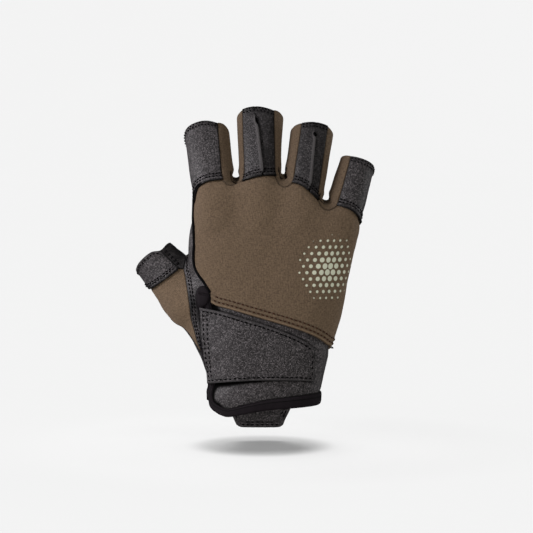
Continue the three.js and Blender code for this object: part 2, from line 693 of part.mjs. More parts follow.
// Under the strap the binding lies flush, so that the strap can lie flat.
const bindingProud = profile([
  { z: 2, proud: BINDING_PROUD }, { z: 5.5, proud: 0 },
  { z: 52, proud: 0 }, { z: 56.5, proud: BINDING_PROUD },
], 'z', 'proud');
{
  const corners = bindingFrames.flatMap(({ at, out, side, width }) => bindingSection.map(([a, b]) => (
    add(add(at, side, a * width / 2), out, bindingProud(at[2]) + (b - 1) * BINDING_DEPTH / 2))));
  const m = bindingSection.length;
  const n = bindingFrames.length;
  const triangles = [];
  for (let i = 0; i < n; i += 1) {
    for (let j = 0; j < m; j += 1) {
      const [a, b] = [i * m + j, i * m + ((j + 1) % m)];
      const [c, d] = [((i + 1) % n) * m + ((j + 1) % m), ((i + 1) % n) * m + j];
      triangles.push([a, b, c], [a, c, d]);
    }
  }
  piece('cuff_binding', solid(corners, triangles), 'binding');
}

// The stretch back of the hand.
const rightCorner = press(backChart.ray([seamGirth(LITTLE_SIDE_Z), LITTLE_SIDE_Z]));
const littleWrap = run(backChart, hems.little.at(-1), rightCorner, 4);
const backTop = joined(hems.index, webs.index_middle, hems.middle, webs.middle_ring, hems.ring,
  webs.ring_little, hems.little, littleWrap);
const backRight = rightSeam(HEM_SIDE_Z, LITTLE_SIDE_Z, BACK_LEFT.length - 1);
// Its lower corner lies beside the binding at the end of the slit.
const ovalSide = reversed(besideBinding(onBack([[-33.6, 62.4]])[0], onBack([[-32.7, 54.9]])[0], 2));
const backLeft = [...ovalSide, ...onBack(BACK_LEFT.slice(3))];
const hemFront = [backLeft[0], ...onBack(BACK_BOTTOM.slice(1).map(({ x, z }) => [x, z]))];
const hemSide = run(backChart, hemFront.at(-1), backRight[0], 4);
const backBottom = resample(joined(hemFront, hemSide), backTop.length - 1).map((p, i, all) => {
  if (i === 0) return backLeft[0];
  return i === all.length - 1 ? backRight[0] : settle(p);
});
const backPatch = patch(backChart, backBottom, backTop, backLeft, backRight);
piece('back_panel', wall([backPatch], STRETCH_WALL), 'stretch');

// The leather cuff on the back of the wrist, whose left side is the flap of the slit.
const onSeam = (z) => press(backChart.ray([seamGirth(z), z]));
const flapCorner = onBack([[-29.6, -4.8]])[0];
const cuffFoot = besideBinding(flapCorner, onSeam(-2), 30);
const sideFoot = onSeam(cuffFoot[30][2]);
cuffFoot[30] = sideFoot;
const cuffHem = resample(backBottom, 30).map(settle);
cuffHem[0] = backBottom[0];
cuffHem[30] = backRight[0];
const cuffLeft = reversed(besideBinding(onBack([[-32.8, 55.5]])[0], flapCorner, 7));
cuffLeft[0] = cuffFoot[0];
cuffLeft[7] = backBottom[0];
const cuffRight = rightSeam(sideFoot[2], HEM_SIDE_Z, 7);
piece('cuff_back', wall([patch(backChart, cuffFoot, cuffHem, cuffLeft, cuffRight)], LEATHER_WALL), 'leather');

// The thumb: its corners in the back view are where the leather of the crotch meets the strip, the back and
// the band.
const CROTCH = [-45.0, 82.6];
const THUMB_BACK_CORNER = [-50.4, 76.2];
const BAND_FOOT = [
  { angle: -215, s: 24.0 }, { angle: -180, s: 23.7 }, { angle: -110, s: 21.3 }, { angle: -63, s: 19.6 },
];
const HOLE_FOOT = [-31.5, 31];
const HOLE_PALM_SIDE = [[-25.5, 39], [-22.0, 49], [-22.5, 59], [-28.0, 68.5], [-36.0, 75.0]];
// In the palm chart, as girth and height: the fold between thumb and hand, and a line across the upper palm.
const HOLE_CREASE = [[-45.6, 80.4], [-50.5, 83.9], [-55.0, 85.2]];
const PALM_TOP = [
  [-59.4, 85.2], [-56.5, 88.3], [-50, 89.3], [-43, 88.6], [-33, 86.8], [-15, 85.2], [10, 84.4],
];
const BAND_STEPS = 9;
const tipChart = tubeChart(thumbTip, -150);
const tipPalmChart = within(tubeChart(thumbTip, 40), thumbDistance);
const thumbRimPoint = (angle) => (
  press(tipChart.ray([angle, thumbTip.length + thumbRimPast(angle)]), thumbDistance));
const thumbRim = (from, to, count) => steps(count).map((t) => thumbRimPoint(lerp(from, to, t)));
const thumbSeam = onBack([...THUMB_SEAM, [-46.3, 79.4], CROTCH]);
const seamFoot = thumbSeam[0];
const crotch = thumbSeam.at(-1);
const bandFootAt = profile(BAND_FOOT, 'angle', 's');
const bandFoot = steps(BAND_STEPS).map((t) => {
  const angle = lerp(-215, -66, t);
  return t === 1 ? onBack([THUMB_BACK_CORNER])[0] : press(tipChart.ray([angle, bandFootAt(angle)]));
});
const bandLeft = run(tipChart, bandFoot[0], thumbRimPoint(-215), 3);
const bandRight = run(tipChart, bandFoot.at(-1), thumbRimPoint(-62), 3);
const bandPatch = patch(tipChart, bandFoot, thumbRim(-215, -62, BAND_STEPS), bandLeft, bandRight);
piece('thumb_band', wall([bandPatch], LEATHER_WALL), 'thumb');

const backThumbChart = within(thumbChart(-150), thumbDistance);
const palmThumbChart = within(thumbChart(40), thumbDistance);
const thumbBackTop = [...bandFoot, thumbSeam[10]];
const thumbOuter = run(backThumbChart, seamFoot, bandFoot[0], 10);
const thumbBackPatch = patch(backThumbChart, thumbBackTop.map(() => seamFoot), thumbBackTop, thumbOuter,
  thumbSeam.slice(0, 11));
piece('thumb_back', wall([thumbBackPatch], STRETCH_WALL), 'stretch');

const onPalm = (points) => points.map(([x, z]) => (
  press({ from: [x, insideAt([x, z]), z], to: [0, 1, 0] })));
const handChart = within(palmChart, handDistance);
const holeFoot = onPalm([HOLE_FOOT])[0];
const crease = HOLE_CREASE.map((place) => surfacePoint(handChart, place));
const hole = joined(run(handChart, seamFoot, holeFoot, 3), [
  holeFoot, ...onPalm(HOLE_PALM_SIDE), ...crease, crotch,
]);
const crotchLine = run(palmThumbChart, bandFoot[0], crotch, 8, 0.09);
const thumbPalmFoot = [...crotchLine, ...reversed(thumbSeam.slice(10, 12)), bandFoot.at(-1)];
const thumbInner = run(palmThumbChart, seamFoot, bandFoot[0], 12);
piece('thumb_palm', wall([
  patch(palmThumbChart, crotchLine.map(() => seamFoot), crotchLine, thumbInner, hole),
  patch(tipPalmChart, thumbPalmFoot, thumbRim(145, -62, 11), bandLeft, bandRight),
], LEATHER_WALL), 'thumb');

// The palm leather is one piece: the side strip, the palm, the inner side of all the fingers, and the whole
// outer side of the first and the last finger.
const palmCorner = bindingLine[55];
const slitRight = onBack([[-33.6, 62.4]])[0];
const ovalLeft = bindingLine[69];
const slitEdge = joined(besideBinding(palmCorner, ovalLeft, 8), besideBinding(ovalLeft, slitRight, 4));
slitEdge[12] = backLeft[2];
const lowerLeft = slitEdge.slice(0, 5);
const stripLeft = joined(slitEdge.slice(4), backLeft.slice(2, STRIP_TOP + 1));
const ACROSS = { strip: 4, palm: 37 };
// Heights on the little finger side where the patches of the palm leather meet.
const PALM_SIDE = { wrist: -2, foot: 19, top: 84 };
const stripFoot = run(handChart, stripLeft[0], seamFoot, ACROSS.strip);
const stripTop = run(handChart, stripLeft.at(-1), crotch, ACROSS.strip);
const palmFootLine = run(handChart, seamFoot, onSeam(PALM_SIDE.foot), ACROSS.palm);
const palmTopLine = trace(handChart, crotch, PALM_TOP, onSeam(PALM_SIDE.top), ACROSS.palm);
const wristLine = reversed(besideBinding(onSeam(PALM_SIDE.wrist), palmCorner, ACROSS.strip + ACROSS.palm));
wristLine[wristLine.length - 1] = sideFoot;
// The runs of the upper edge: index, web, middle, web, ring, web, little finger.
const UPPER = { index: 8, middle: 4, ring: 4, little: 7 };
const upperTop = joined(
  run(chartOf.index, backCorner, palmSeams.index.right[0], UPPER.index), palmWebs.index_middle,
  run(palmChartOf.middle, palmSeams.middle.left[0], palmSeams.middle.right[0], UPPER.middle),
  palmWebs.middle_ring,
  run(palmChartOf.ring, palmSeams.ring.left[0], palmSeams.ring.right[0], UPPER.ring), palmWebs.ring_little,
  run(chartOf.little, palmSeams.little.left[0], rightCorner, UPPER.little),
);
const middleStart = UPPER.index + WEB_STEPS;
const ringStart = middleStart + UPPER.middle + WEB_STEPS;
const littleStart = ringStart + UPPER.ring + WEB_STEPS;
const upperRun = (start, count) => upperTop.slice(start, start + count + 1);
const indexFoot = joined(reversed(hems.index), upperRun(0, UPPER.index));
const littleFoot = joined(upperRun(littleStart, UPPER.little), reversed(littleWrap), reversed(hems.little));
const middlePalmRim = rim('middle', SEAMS.middle.palmLeft, SEAMS.middle.palmRight, UPPER.middle);
const ringPalmRim = rim('ring', SEAMS.ring.palmLeft, SEAMS.ring.palmRight, UPPER.ring);
const indexRim = rim('index', SEAMS.index.right, SEAMS.index.palmRight - 360, indexFoot.length - 1);
const littleRim = rim('little', SEAMS.little.palmLeft, SEAMS.little.left, littleFoot.length - 1);
piece('palm_leather', wall([
  patch(handChart, wristLine, joined(stripFoot, palmFootLine), lowerLeft,
    rightSeam(sideFoot[2], PALM_SIDE.foot, lowerLeft.length - 1)),
  patch(handChart, stripFoot, stripTop, stripLeft, thumbSeam),
  patch(handChart, palmFootLine, palmTopLine, hole,
    rightSeam(PALM_SIDE.foot, PALM_SIDE.top, hole.length - 1)),
  patch(handChart, joined(stripTop, palmTopLine), upperTop, backLeft.slice(STRIP_TOP),
    rightSeam(PALM_SIDE.top, LITTLE_SIDE_Z, backLeft.length - 1 - STRIP_TOP)),
  patch(chartOf.index, indexFoot, indexRim, seams.index.right, palmSeams.index.right),
  patch(palmChartOf.middle, upperRun(middleStart, UPPER.middle), middlePalmRim, palmSeams.middle.left,
    palmSeams.middle.right),
  patch(palmChartOf.ring, upperRun(ringStart, UPPER.ring), ringPalmRim, palmSeams.ring.left,
    palmSeams.ring.right),
  patch(chartOf.little, littleFoot, littleRim, palmSeams.little.left, seams.little.left),
], LEATHER_WALL), 'leather');

// The wrist strap lies over the slit and the cuff.
const STRAP_TOP = [
  [-36.4, 51.9], [-28.3, 50.4], [-18.6, 47.4], [-10.4, 44.5], [0, 40.8], [6.8, 38.7], [13.8, 36.2],
  [20.6, 33.6], [25.4, 30.8], [28.4, 28.0], [29.8, 24.6],
];
const STRAP_FOOT = [
  [-31.6, 6.3], [-17.4, 7.0], [6.8, 8.6], [22.8, 8.8], [26.2, 9.2], [28.4, 11.0], [29.5, 15.0],
];
const STRAP_END = [STRAP_FOOT[0], [-32.8, 17], [-34.4, 28], [-35.4, 40], STRAP_TOP[0]];
const STRAP_STEPS = 14;
const strapTop = resample(onBack(STRAP_TOP), STRAP_STEPS).map(settle);
const strapFoot = resample(onBack(STRAP_FOOT), STRAP_STEPS).map(settle);
const strapLeft = [strapFoot[0], ...onBack(STRAP_END.slice(1, -1)), strapTop[0]];
const strapRight = run(backChart, strapFoot.at(-1), strapTop.at(-1), strapLeft.length - 1);
const strapPatch = patch(backChart, strapFoot, strapTop, strapLeft, strapRight);
piece('wrist_strap', wall([strapPatch], STRAP_WALL, () => LAYER_GAP + STRAP_WALL), 'strap');

// The tab that the glove is pulled on with, over the binding on the palm side.
const TAB_FOOT = [
  [-15.2, -16.2], [-12.6, -18.2], [-6, -18.6], [-1, -18.6], [4, -18.6], [10.2, -18.2], [13.2, -16.2],
];
const TAB_TOP = [[-16.6, 8], [0, 8], [16.2, 8]];
const TAB_SIDES = {
  left: [[-16.4, -11], [-16.8, -4.5], [-16.8, 2]],
  right: [[14.9, -11], [16.0, -4.5], [16.2, 2]],
};
const tabFoot = onPalm(TAB_FOOT);
const tabTop = resample(onPalm(TAB_TOP), tabFoot.length - 1).map(settle);
const tabLeft = [tabFoot[0], ...onPalm(TAB_SIDES.left), tabTop[0]];
const tabRight = [tabFoot.at(-1), ...onPalm(TAB_SIDES.right), tabTop.at(-1)];
const tabPatch = patch(palmChart, tabFoot, tabTop, tabLeft, tabRight);
piece('pull_tab', wall([tabPatch], LEATHER_WALL, () => LAYER_GAP + BINDING_PROUD + LEATHER_WALL), 'strap');

export default glove;
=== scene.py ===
"""A half-finger weightlifting glove for the right hand, in the form that it has when it is worn.

The shape is one smooth form, the outside of the glove. Each panel is a surface worked out on that form
between the seams round it, and given its wall, its folded edges and its stitch rows.
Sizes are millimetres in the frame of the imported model, until a mesh is written in metres:
X runs across the hand towards the little finger, -Y is the back of the hand and +Z points to the fingertips.
"""
import functools

import bpy
import numpy as np
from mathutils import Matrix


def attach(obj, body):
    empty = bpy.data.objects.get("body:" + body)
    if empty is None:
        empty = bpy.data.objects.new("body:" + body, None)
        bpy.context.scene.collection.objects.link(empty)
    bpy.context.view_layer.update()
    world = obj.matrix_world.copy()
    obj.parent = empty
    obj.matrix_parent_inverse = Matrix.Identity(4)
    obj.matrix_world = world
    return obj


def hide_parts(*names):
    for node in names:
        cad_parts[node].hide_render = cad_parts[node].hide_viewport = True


bl_info = {
    "name": "Weightlifting glove",
    "version": (1, 0, 0),
    "blender": (4, 5, 0),
    "location": "View3D > Sidebar > Glove",
    "description": "Builds a half-finger weightlifting glove, panel by panel, round a packed model",
    "category": "Add Mesh",
}

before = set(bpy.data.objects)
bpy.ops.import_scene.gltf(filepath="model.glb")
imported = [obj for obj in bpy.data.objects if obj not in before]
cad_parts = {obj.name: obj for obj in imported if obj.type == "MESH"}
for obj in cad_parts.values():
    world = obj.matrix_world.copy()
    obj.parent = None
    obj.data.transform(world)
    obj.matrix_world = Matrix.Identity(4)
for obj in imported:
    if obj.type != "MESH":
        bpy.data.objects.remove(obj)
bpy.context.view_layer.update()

MM = 0.001
DEGREE = np.pi / 180
LEATHER_WALL = 1.5
JERSEY_WALL = 2.0
STRAP_WALL = 1.7
LAYER_GAP = 0.35
SEAM_GAP = 0.36
BINDING_DEPTH = 2.9
BINDING_PROUD = 0.8
BINDING_TUCK = 0.6  # how far the leather reaches in under the binding
HEM_TUCK = 1.4  # how far the cuff reaches up under the jersey's hem
SLIT_BINDING_WIDTH = 4.2
RIM_RINGS = 5  # steps of the rounded edge of a wall

# Distances of the rows of stitches from the edge that they follow, and how close the stitches of a row are.
RIM_ROWS = (1.3, 3.0)
LEATHER_HEM_ROWS = (1.8, 3.5)
SEAM_ROWS = (1.8, 3.4)
BAND_ROWS = (1.5, 2.7)
TAB_ROWS = (1.6, 3.2)
STRAP_ROW = 1.7
STRAP_END_ROWS = (2.3, 4.9)
HEM_ROWS = (2.3, 4.9)
FINGER_CLOSE, SEAM_CLOSE, THUMB_CLOSE = 0.72, 0.85, 0.8

# Heights and widths of the bells by which a panel swells over, or dives under, the one beside it.
HEM_SWELL = (0.75, 2.3)
BINDING_DIVE = (0.3, 1.4)
BACK_DIVE = (1.15, 1.7)
CUFF_DIVE = (1.45, 2.8)
CUFF_SAG = (1.6, 3.6)
THUMB_DIVE = (0.55, 1.7)
BAND_SWELL = (0.5, 2.6)
WEB_CREASE = (1.3, 0.8)
HEM_LAP = 0.9  # how far leather and jersey reach past each other at a hem

# The picture is taken from a little above: middle and width of its plane through the glove, and the camera.
VIEW_MIDDLE = (2.7, 77.1)
VIEW_WIDTH = 319.8
VIEW_LENS = 315.0
VIEW_SENSOR = 36.0
VIEW_RISE = 3 * DEGREE
VIEW_REACH = VIEW_WIDTH * VIEW_LENS / VIEW_SENSOR
CAMERA = np.array([VIEW_MIDDLE[0], -VIEW_REACH * np.cos(VIEW_RISE),
                   VIEW_MIDDLE[1] + VIEW_REACH * np.sin(VIEW_RISE)])
FLOOR_LAMP_WIDTH = 66 * DEGREE
# The paper's glow round the shadow, in millimetres: its reach across and along the depth and how far back its
# middle is, and the same of the shadow's core, where there is none.
GLOW_REACH = (82.0, 70.0, 8.0)
GLOW_CORE = (39.5, 28.0, 6.0)
# The paper: flat out to its depth, then a sweep of this radius, up to its height; and the width of its tip.
PAPER = dict(depth=4500.0, sweep=900.0, height=5000.0, tip=200.0, flat_steps=40, sweep_steps=24, spokes=96)
# The lamps on the glove: place and size in metres, the setting that gives their power, and colour.
LAMPS = {
    "key": ((-0.62, -0.30, 0.33), 0.3, "key", (1.0, 0.965, 1.0)),
    "top": ((0.1, -0.35, 1.1), 0.5, "top", (1.0, 1.0, 1.0)),
    "fill": ((0.5, -1.2, -0.1), 0.9, "fill", (1.0, 0.98, 0.92)),
    "left": ((-0.7, 0.2, 0.15), 0.4, "side", (1.0, 1.0, 1.0)),
    "right": ((0.7, 0.2, 0.1), 0.4, "side", (1.0, 1.0, 1.0)),
}
LINING = (0.02, 0.018, 0.017)
# Near-black of painted shade: the matt black shader, and the groove of the binding's seam.
SHADE_BLACK = (0.002, 0.002, 0.002)
PRINT_MIDDLE = (36.0, 76.5)  # on the jersey back: girth from the middle of the hand, and height
PRINT_HALF = (19.0, 19.5)

# Steps of the fine surface along each run of a seam, about a millimetre each.
STEPS = {
    "finger": 34, "web": 26, "index_hem": 24, "left_half": 13, "right_half": 9, "little_hem": 20, "wrap": 20,
    "between": 26, "oval": 10, "strip_edge": 22, "upper": 36, "slit_low": 28, "slit_high": 28, "slit_end": 14,
    "thumb_seam": 54, "seam_top": 10, "band": 46, "band_rows": 22, "corner": 5, "crotch": 44, "hole": 84,
    "strip": 14, "palm": 152, "index_palm": 34, "middle_palm": 15, "ring_palm": 15, "little_palm": 24,
    "cuff": 104, "cuff_rows": 44, "strap": 84, "strap_rows": 52, "tab": 36, "tab_rows": 28,
}


def columns(names, *rows):
    """A table as named columns: each name of the text with its numbers."""
    return dict(zip(names.split(), np.array(rows, float).T))


# The wrist and the palm without fingers: outline from the back, and depth from the side, at each height.
PALM = columns(
    "z left right back palm",
    (-16, -32.6, 35.2, -20.8, 19.5), (0, -32.6, 35.0, -20.8, 20.0), (15, -33.2, 37.8, -21.0, 20.8),
    (26, -35.4, 40.6, -21.0, 21.5), (38, -37.5, 44.8, -20.6, 21.5), (52, -39.5, 48.7, -19.8, 20.5),
    (66, -41.8, 51.0, -19.0, 19.0), (80, -44.0, 54.0, -18.2, 17.0), (94, -43.8, 56.6, -17.4, 15.8),
    (106, -41.6, 58.6, -16.2, 15.0), (118, -38.5, 57.5, -14.8, 14.4),
)
PALM_ROUNDNESS = 2.5
WEB = columns("x z", (-44, 117), (-18, 129), (13.5, 129.5), (40, 115.5), (60, 100))
WEB_SLOPE = 0.25
WEB_ROUNDING = 7

# Finger and thumb tubes: foot and end as seen from the back, half width and half depth at three stations.
FINGERS = {
    "index": dict(foot=(-26.2, 102), end=(-33.0, 154.8), foot_y=-2.4, lean=0.72, skew=-1.5,
                  wide=(10.5, 13.0, 13.3), deep=(11.5, 13.2, 13.2)),
    "middle": dict(foot=(-1.4, 102), end=(-1.2, 164.6), foot_y=-2.8, lean=0.62, skew=-1.4,
                   wide=(10.5, 12.2, 14.0), deep=(12.0, 13.3, 13.3)),
    "ring": dict(foot=(22.0, 102), end=(29.9, 156.6), foot_y=-2.6, lean=0.56, skew=1.1,
                 wide=(10.5, 12.3, 12.8), deep=(11.5, 12.8, 12.8)),
    "little": dict(foot=(44.2, 94), end=(57.0, 138.0), foot_y=-1.6, lean=0.42, skew=0.2,
                   wide=(10.0, 11.4, 10.4), deep=(10.5, 11.6, 11.0)),
}
FINGER_ROUNDNESS = 2.25
THUMB = {
    "root": dict(foot=(-16, 14), end=(-41.0, 57.5), foot_y=2.5, end_y=9,
                 wide=(9.0, 12.6, 15.9), deep=(12, 14, 15), past=5),
    "tip": dict(foot=(-41.0, 57.5), end=(-65.9, 82.4), foot_y=9, end_y=13,
                wide=(15.7, 15.2, 12.8), deep=(15, 14.8, 13.6)),
}
THUMB_ROUNDNESS = 2.1
BAND_START, BAND_END, BAND_FOOT_END = -215, -62, -66  # angles round the thumb
THUMB_PALM_START = 145
THUMB_BLEND = (9.5, 5.0, 56, 24)  # with the hand: below and above, and where and over what it changes
THUMB_CLOTH = (15 * DEGREE, 85.0)  # millimetres of cloth for a degree round the thumb and along all of it
THUMB_RIM = columns(
    "angle past",
    (-215, -3.0), (-180, 0.5), (-166, 1.2), (-122, 3.4), (-82, 2.7), (-62, -0.4), (-28, -0.6), (0, -1.5),
    (45, -5.0), (90, -6.0), (145, -3.0),
)

# Seams of the back view, (x, z), from the thumb side towards the little finger or from the wrist up.
HEMS = {
    "index": [(-40.8, 117.3), (-40.1, 121.8), (-38.7, 125.1), (-36.3, 127.2), (-32.8, 128.8), (-28.5, 129.5),
              (-23.9, 130.0)],
    "middle": [(-11.4, 129.1), (-7.8, 130.4), (-3.5, 131.6), (0.6, 132.2), (4.5, 132.4), (8.1, 132.1)],
    "ring": [(18.6, 128.2), (21.9, 127.3), (25.7, 125.3), (28.8, 122.8), (31.7, 120.2), (34.0, 117.7)],
    "little": [(45.5, 114.5), (49.5, 113.3), (53.3, 111.8), (56.1, 109.7), (58.2, 107.1), (59.4, 104.1)],
}
RIDGE_AT = 3  # the place in a hem where the two halves of the leather on that finger meet
WEB_SEAMS = {
    "index_middle": [(-23.9, 130.0), (-23.0, 128.2), (-21.1, 126.5), (-18.6, 125.8), (-16.2, 126.6),
                     (-13.8, 127.9), (-11.4, 129.1)],
    "middle_ring": [(8.1, 132.1), (8.6, 129.6), (10.0, 126.9), (12.4, 125.0), (15.0, 124.9), (17.2, 126.4),
                    (18.6, 128.2)],
    "ring_little": [(34.0, 117.7), (34.5, 115.0), (36.0, 112.5), (38.6, 111.0), (41.6, 111.4), (43.9, 112.8),
                    (45.5, 114.5)],
}
BETWEEN = (("index", "middle"), ("middle", "ring"), ("ring", "little"))
# How far the strips swell out past the rims, on the left and the right of each finger.
LOBES = {"index": (0, 3.8), "middle": (-1.4, 3.2), "ring": (0.7, -0.9), "little": (1.1, 0)}
# Swells and hollows of the strips near the webs: place in the picture, height over the form, and width.
WEB_SWELLS = {
    "index_middle": [(-16.4, 132.6, -5.2, 3.2), (-19.0, 132.4, 0.8, 3.4), (-13.4, 132.4, 0.9, 3.4)],
    "middle_ring": [(12.4, 134.0, -0.6, 3.0), (8.6, 136.0, 0.5, 4.0), (16.0, 136.0, 0.6, 4.0)],
    "ring_little": [(37.6, 118.8, -4.2, 3.0), (41.2, 119.0, 1.0, 3.4), (34.0, 119.5, 0.5, 3.0)],
}
# Small folds of the strips at the foot of each web, (x, z) from the back.
WEB_FOLDS = {
    "index_middle": [[(-18.4, 133.6), (-17.6, 131.2), (-16.4, 128.8), (-14.9, 127.4)]],
    "middle_ring": [[(9.8, 135.5), (10.8, 132.2), (11.6, 130.0)],
                    [(15.0, 135.6), (13.8, 133.2), (14.4, 130.4)]],
    "ring_little": [[(34.6, 119.4), (35.8, 117.2), (37.6, 115.8)]],
}
BACK_LEFT = [(-35.2, 68.2), (-38.0, 72.0), (-40.2, 76.6), (-41.0, 82.0), (-40.7, 90.0), (-40.9, 99.0),
             (-41.1, 108.0), (-40.8, 117.3)]
STRIP_TOP = 4  # where the side strip ends, counted from the end of the slit
BACK_BOTTOM = [(-27.3, 53.7), (-19.5, 51.5), (-9.2, 48.4), (-0.9, 46.0), (6.3, 43.9), (16.6, 40.8),
               (27.0, 37.2), (34.7, 33.6), (39.4, 30.2)]
THUMB_SEAM = [
    (-37.0, 26.4), (-38.6, 30.6), (-40.1, 36.0), (-41.6, 41.6), (-42.9, 47.0), (-43.5, 52.6), (-44.3, 58.8),
    (-45.2, 65.2), (-46.1, 71.2), (-46.6, 73.8), (-47.0, 75.6), (-46.3, 79.4), (-45.0, 82.6),
]
THUMB_BACK_TOP = 10  # where in the thumb seam the brown back of the thumb ends
THUMB_BACK_CORNER = (-50.4, 76.2)
BAND_FOOT = columns("angle s", (-215, 24.0), (-180, 23.7), (-110, 21.3), (-63, 19.6))
HOLE_FOOT = (-31.5, 31)
HOLE_PALM_SIDE = [(-25.5, 39), (-22.0, 49), (-22.5, 59), (-28.0, 68.5), (-36.0, 75.0)]
HOLE_CREASE = [(-45.6, 80.4), (-50.5, 83.9), (-55.0, 85.2)]
PALM_TOP = [(-59.4, 85.2), (-56.5, 87.9), (-50, 87.2), (-43, 88.6), (-33, 86.8), (-15, 85.2), (10, 84.4)]
SEAM_ANGLES = {
    "index": dict(right=-58, palm_right=50, palm_right_foot=34),
    "middle": dict(left=-138, right=-54, ridge=-103, palm_left=130, palm_right=50, palm_left_foot=34,
                   palm_right_foot=35),
    "ring": dict(left=-121, right=-48, ridge=-83, palm_left=130, palm_right=50, palm_left_foot=31,
                 palm_right_foot=22),
    "little": dict(left=-116, palm_left=130, palm_left_foot=27),
}
# The slot near the top of the ridge: its height in the picture, its half width and half height, and how far
# the left half draws back there.
SLOTS = {
    "middle": dict(z=165.0, half=(0.85, 2.9), width=1.0),
    "ring": dict(z=156.6, half=(1.15, 1.5), width=1.0),
}
RIDGE_RISE = {"middle": 1.0, "ring": 0.5}
UNDERLAP = 1.0  # how far the right half reaches in under the left one
RIGHT_SEAM_TURN = 125
LITTLE_SIDE_Z = 101
HEM_SIDE_Z = 25.2
PALM_SIDE = dict(wrist=-2, foot=19, top=84)
PALM_WEB_SAG = {"index_middle": 9, "middle_ring": 7.5, "ring_little": 8.5}

WRIST_EDGE = columns(
    "girth low width",
    (-28, -10.9, 4.8), (-23, -12.1, 4.8), (-18, -11.5, 4.9), (-8, -9.4, 5.4), (4, -7.7, 6.2), (16, -6.9, 6.8),
    (26, -6.3, 7.2), (37, -5.6, 7.4), (47, -4.8, 7.2), (60, -5.2, 6.0), (75, -6.6, 4.8), (92, -7.4, 4.8),
    (-78, -7.0, 4.8), (-65, -6.2, 4.8),
)
WRIST_CORNER = columns("turn z width", (113, -2.7, 4.6), (102, -1.2, 4.4))
SLIT_END = (-35.6, 60.3)
SLIT_END_RADIUS = 2.3
SLIT_PALM_SIDE = [(97, -2), (93, 5), (82, 15), (70, 27)]
SLIT_PALM_SIDE_ABOVE = [(-35.5, 38), (-36.8, 48), (-37.6, 55)]
SLIT_FLAP_SIDE = [(-32.8, 55), (-31.6, 49), (-29.4, 38), (-28.6, 27), (-29.6, 16), (-31.0, 6), (-31.2, 0),
                  (-30.4, -5.2)]
SLIT_END_WIDTH = 4.55
# The fold of the tape over the end of the slit: middle, half sizes, and the height of the crease across it.
SLIT_FOLD = dict(middle=(-35.4, 59.2), half=(4.3, 6.3), crease=60.2, rise=-0.2)
FLAP_FOOT_WIDTH = 4.7
BINDING_STATIONS = (330, 78, 60, 120)
STRAP_TOP = [(-36.9, 52.6), (-27.8, 50.7), (-22.1, 49.2), (-17.0, 47.6), (-9.2, 45.1), (0.6, 42.2),
             (14.0, 37.3), (19.7, 34.9), (26.4, 31.4), (31.2, 27.8)]
PIPING_TOP = 14  # steps of the first finger's hem that the cord in the left seam reaches over
STRAP_FOOT = [(-31.2, 7.0), (-17.0, 8.1), (1.1, 8.9), (21.8, 8.9), (30.4, 8.5)]
STRAP_END = [(-31.2, 7.0), (-32.4, 17), (-34.4, 28), (-35.9, 40), (-36.9, 52.6)]
TAB_FOOT = [(-14.8, -17.9), (-12.6, -19.2), (-6, -19.5), (-1, -19.5), (4, -19.5), (10.4, -19.2),
            (12.4, -17.9)]
TAB_TOP = [(-17.6, 8), (0, 8), (17.4, 8)]
TAB_LEFT = [(-16.9, -13), (-17.5, -8), (-17.5, 2)]
TAB_RIGHT = [(13.9, -14), (15.6, -10.5), (17.2, -6)]


# Curves and small vector helpers

def hermite(t, v):
    """Cubic through the values v at t, held level past both ends: each span blends its two ends by a smooth
    step and adds their slopes, which are those of the chord between the neighbours."""
    before, after = np.maximum(np.arange(len(t)) - 1, 0), np.minimum(np.arange(len(t)) + 1, len(t) - 1)
    slope = (v[after] - v[before]) / (t[after] - t[before])[(...,) + (None,) * (v.ndim - 1)]

    def curve(x):
        """The blend at x."""
        q = np.clip(x, t[0], t[-1])
        i = np.clip(np.searchsorted(t, q, side="right") - 1, 0, len(t) - 2)
        h = t[i + 1] - t[i]
        s = (q - t[i]) / h
        if v.ndim > 1:
            s, h = s[..., None], h[..., None]
        rise = s * s * (3 - 2 * s)
        return (v[i] * (1 - rise) + v[i + 1] * rise
                + h * s * (1 - s) * ((1 - s) * slope[i] - s * slope[i + 1]))
    return curve


def profile(table, along, value):
    """A column of a table as a smooth function of another column."""
    return hermite(table[along], table[value])


def dot(p, q):
    """The products of the parts of two vectors, added up."""
    return (p * q).sum(-1)


def unit(p):
    """A vector over its length."""
    return p / np.maximum(np.linalg.norm(p, axis=-1, keepdims=True), 1e-9)


def stack(*parts):
    """Arrays side by side, as the parts of vectors."""
    return np.stack(np.broadcast_arrays(*parts), -1)


def shares(count):
    """Even shares from nothing to one, in this many steps."""
    return np.linspace(0.0, 1.0, count + 1)


def measure(points):
    """Distance along a run of points, from its start."""
    return np.concatenate([[0.0], np.cumsum(np.linalg.norm(np.diff(points, axis=0), axis=1))])


def through(points, counts, marks=()):
    """A smooth curve through points, cut at the marked ones: a list of runs with the given steps."""
    points = np.array(points, float)
    length = measure(points)
    curve = hermite(length, points)
    ends = [0, *marks, len(points) - 1]
    return [curve(np.linspace(length[a], length[b], n + 1)) for a, b, n in zip(ends, ends[1:], counts)]


def resample(points, count):
    """The same curve with another number of steps, evenly spaced along it."""
    return through(points, [count])[0]


def joined(*runs):
    """Runs of points as one, each without the point that ends the run before it."""
    return np.concatenate([runs[0], *[run[1:] for run in runs[1:]]])


# The form

def smooth_step(t):
    """Nothing up to nothing, one from one on, and three squares less two cubes between."""
    t = np.clip(t, 0, 1)
    return t * t * (3 - 2 * t)


def section_distance(w, y, a, b, power):
    """Signed distance to a rounded section with half sizes a and b, negative inside: the size of the point in
    the section's own measure, less one, over the slope of that measure."""
    u, v = np.abs(w) / a, np.abs(y) / b
    size = np.maximum((u ** power + v ** power) ** (1 / power), 1e-3)
    slope = np.hypot((u / size) ** (power - 1) / a, (v / size) ** (power - 1) / b)
    return np.where(size < 2e-3, -np.minimum(a, b), (size - 1) / np.maximum(slope, 1e-6))


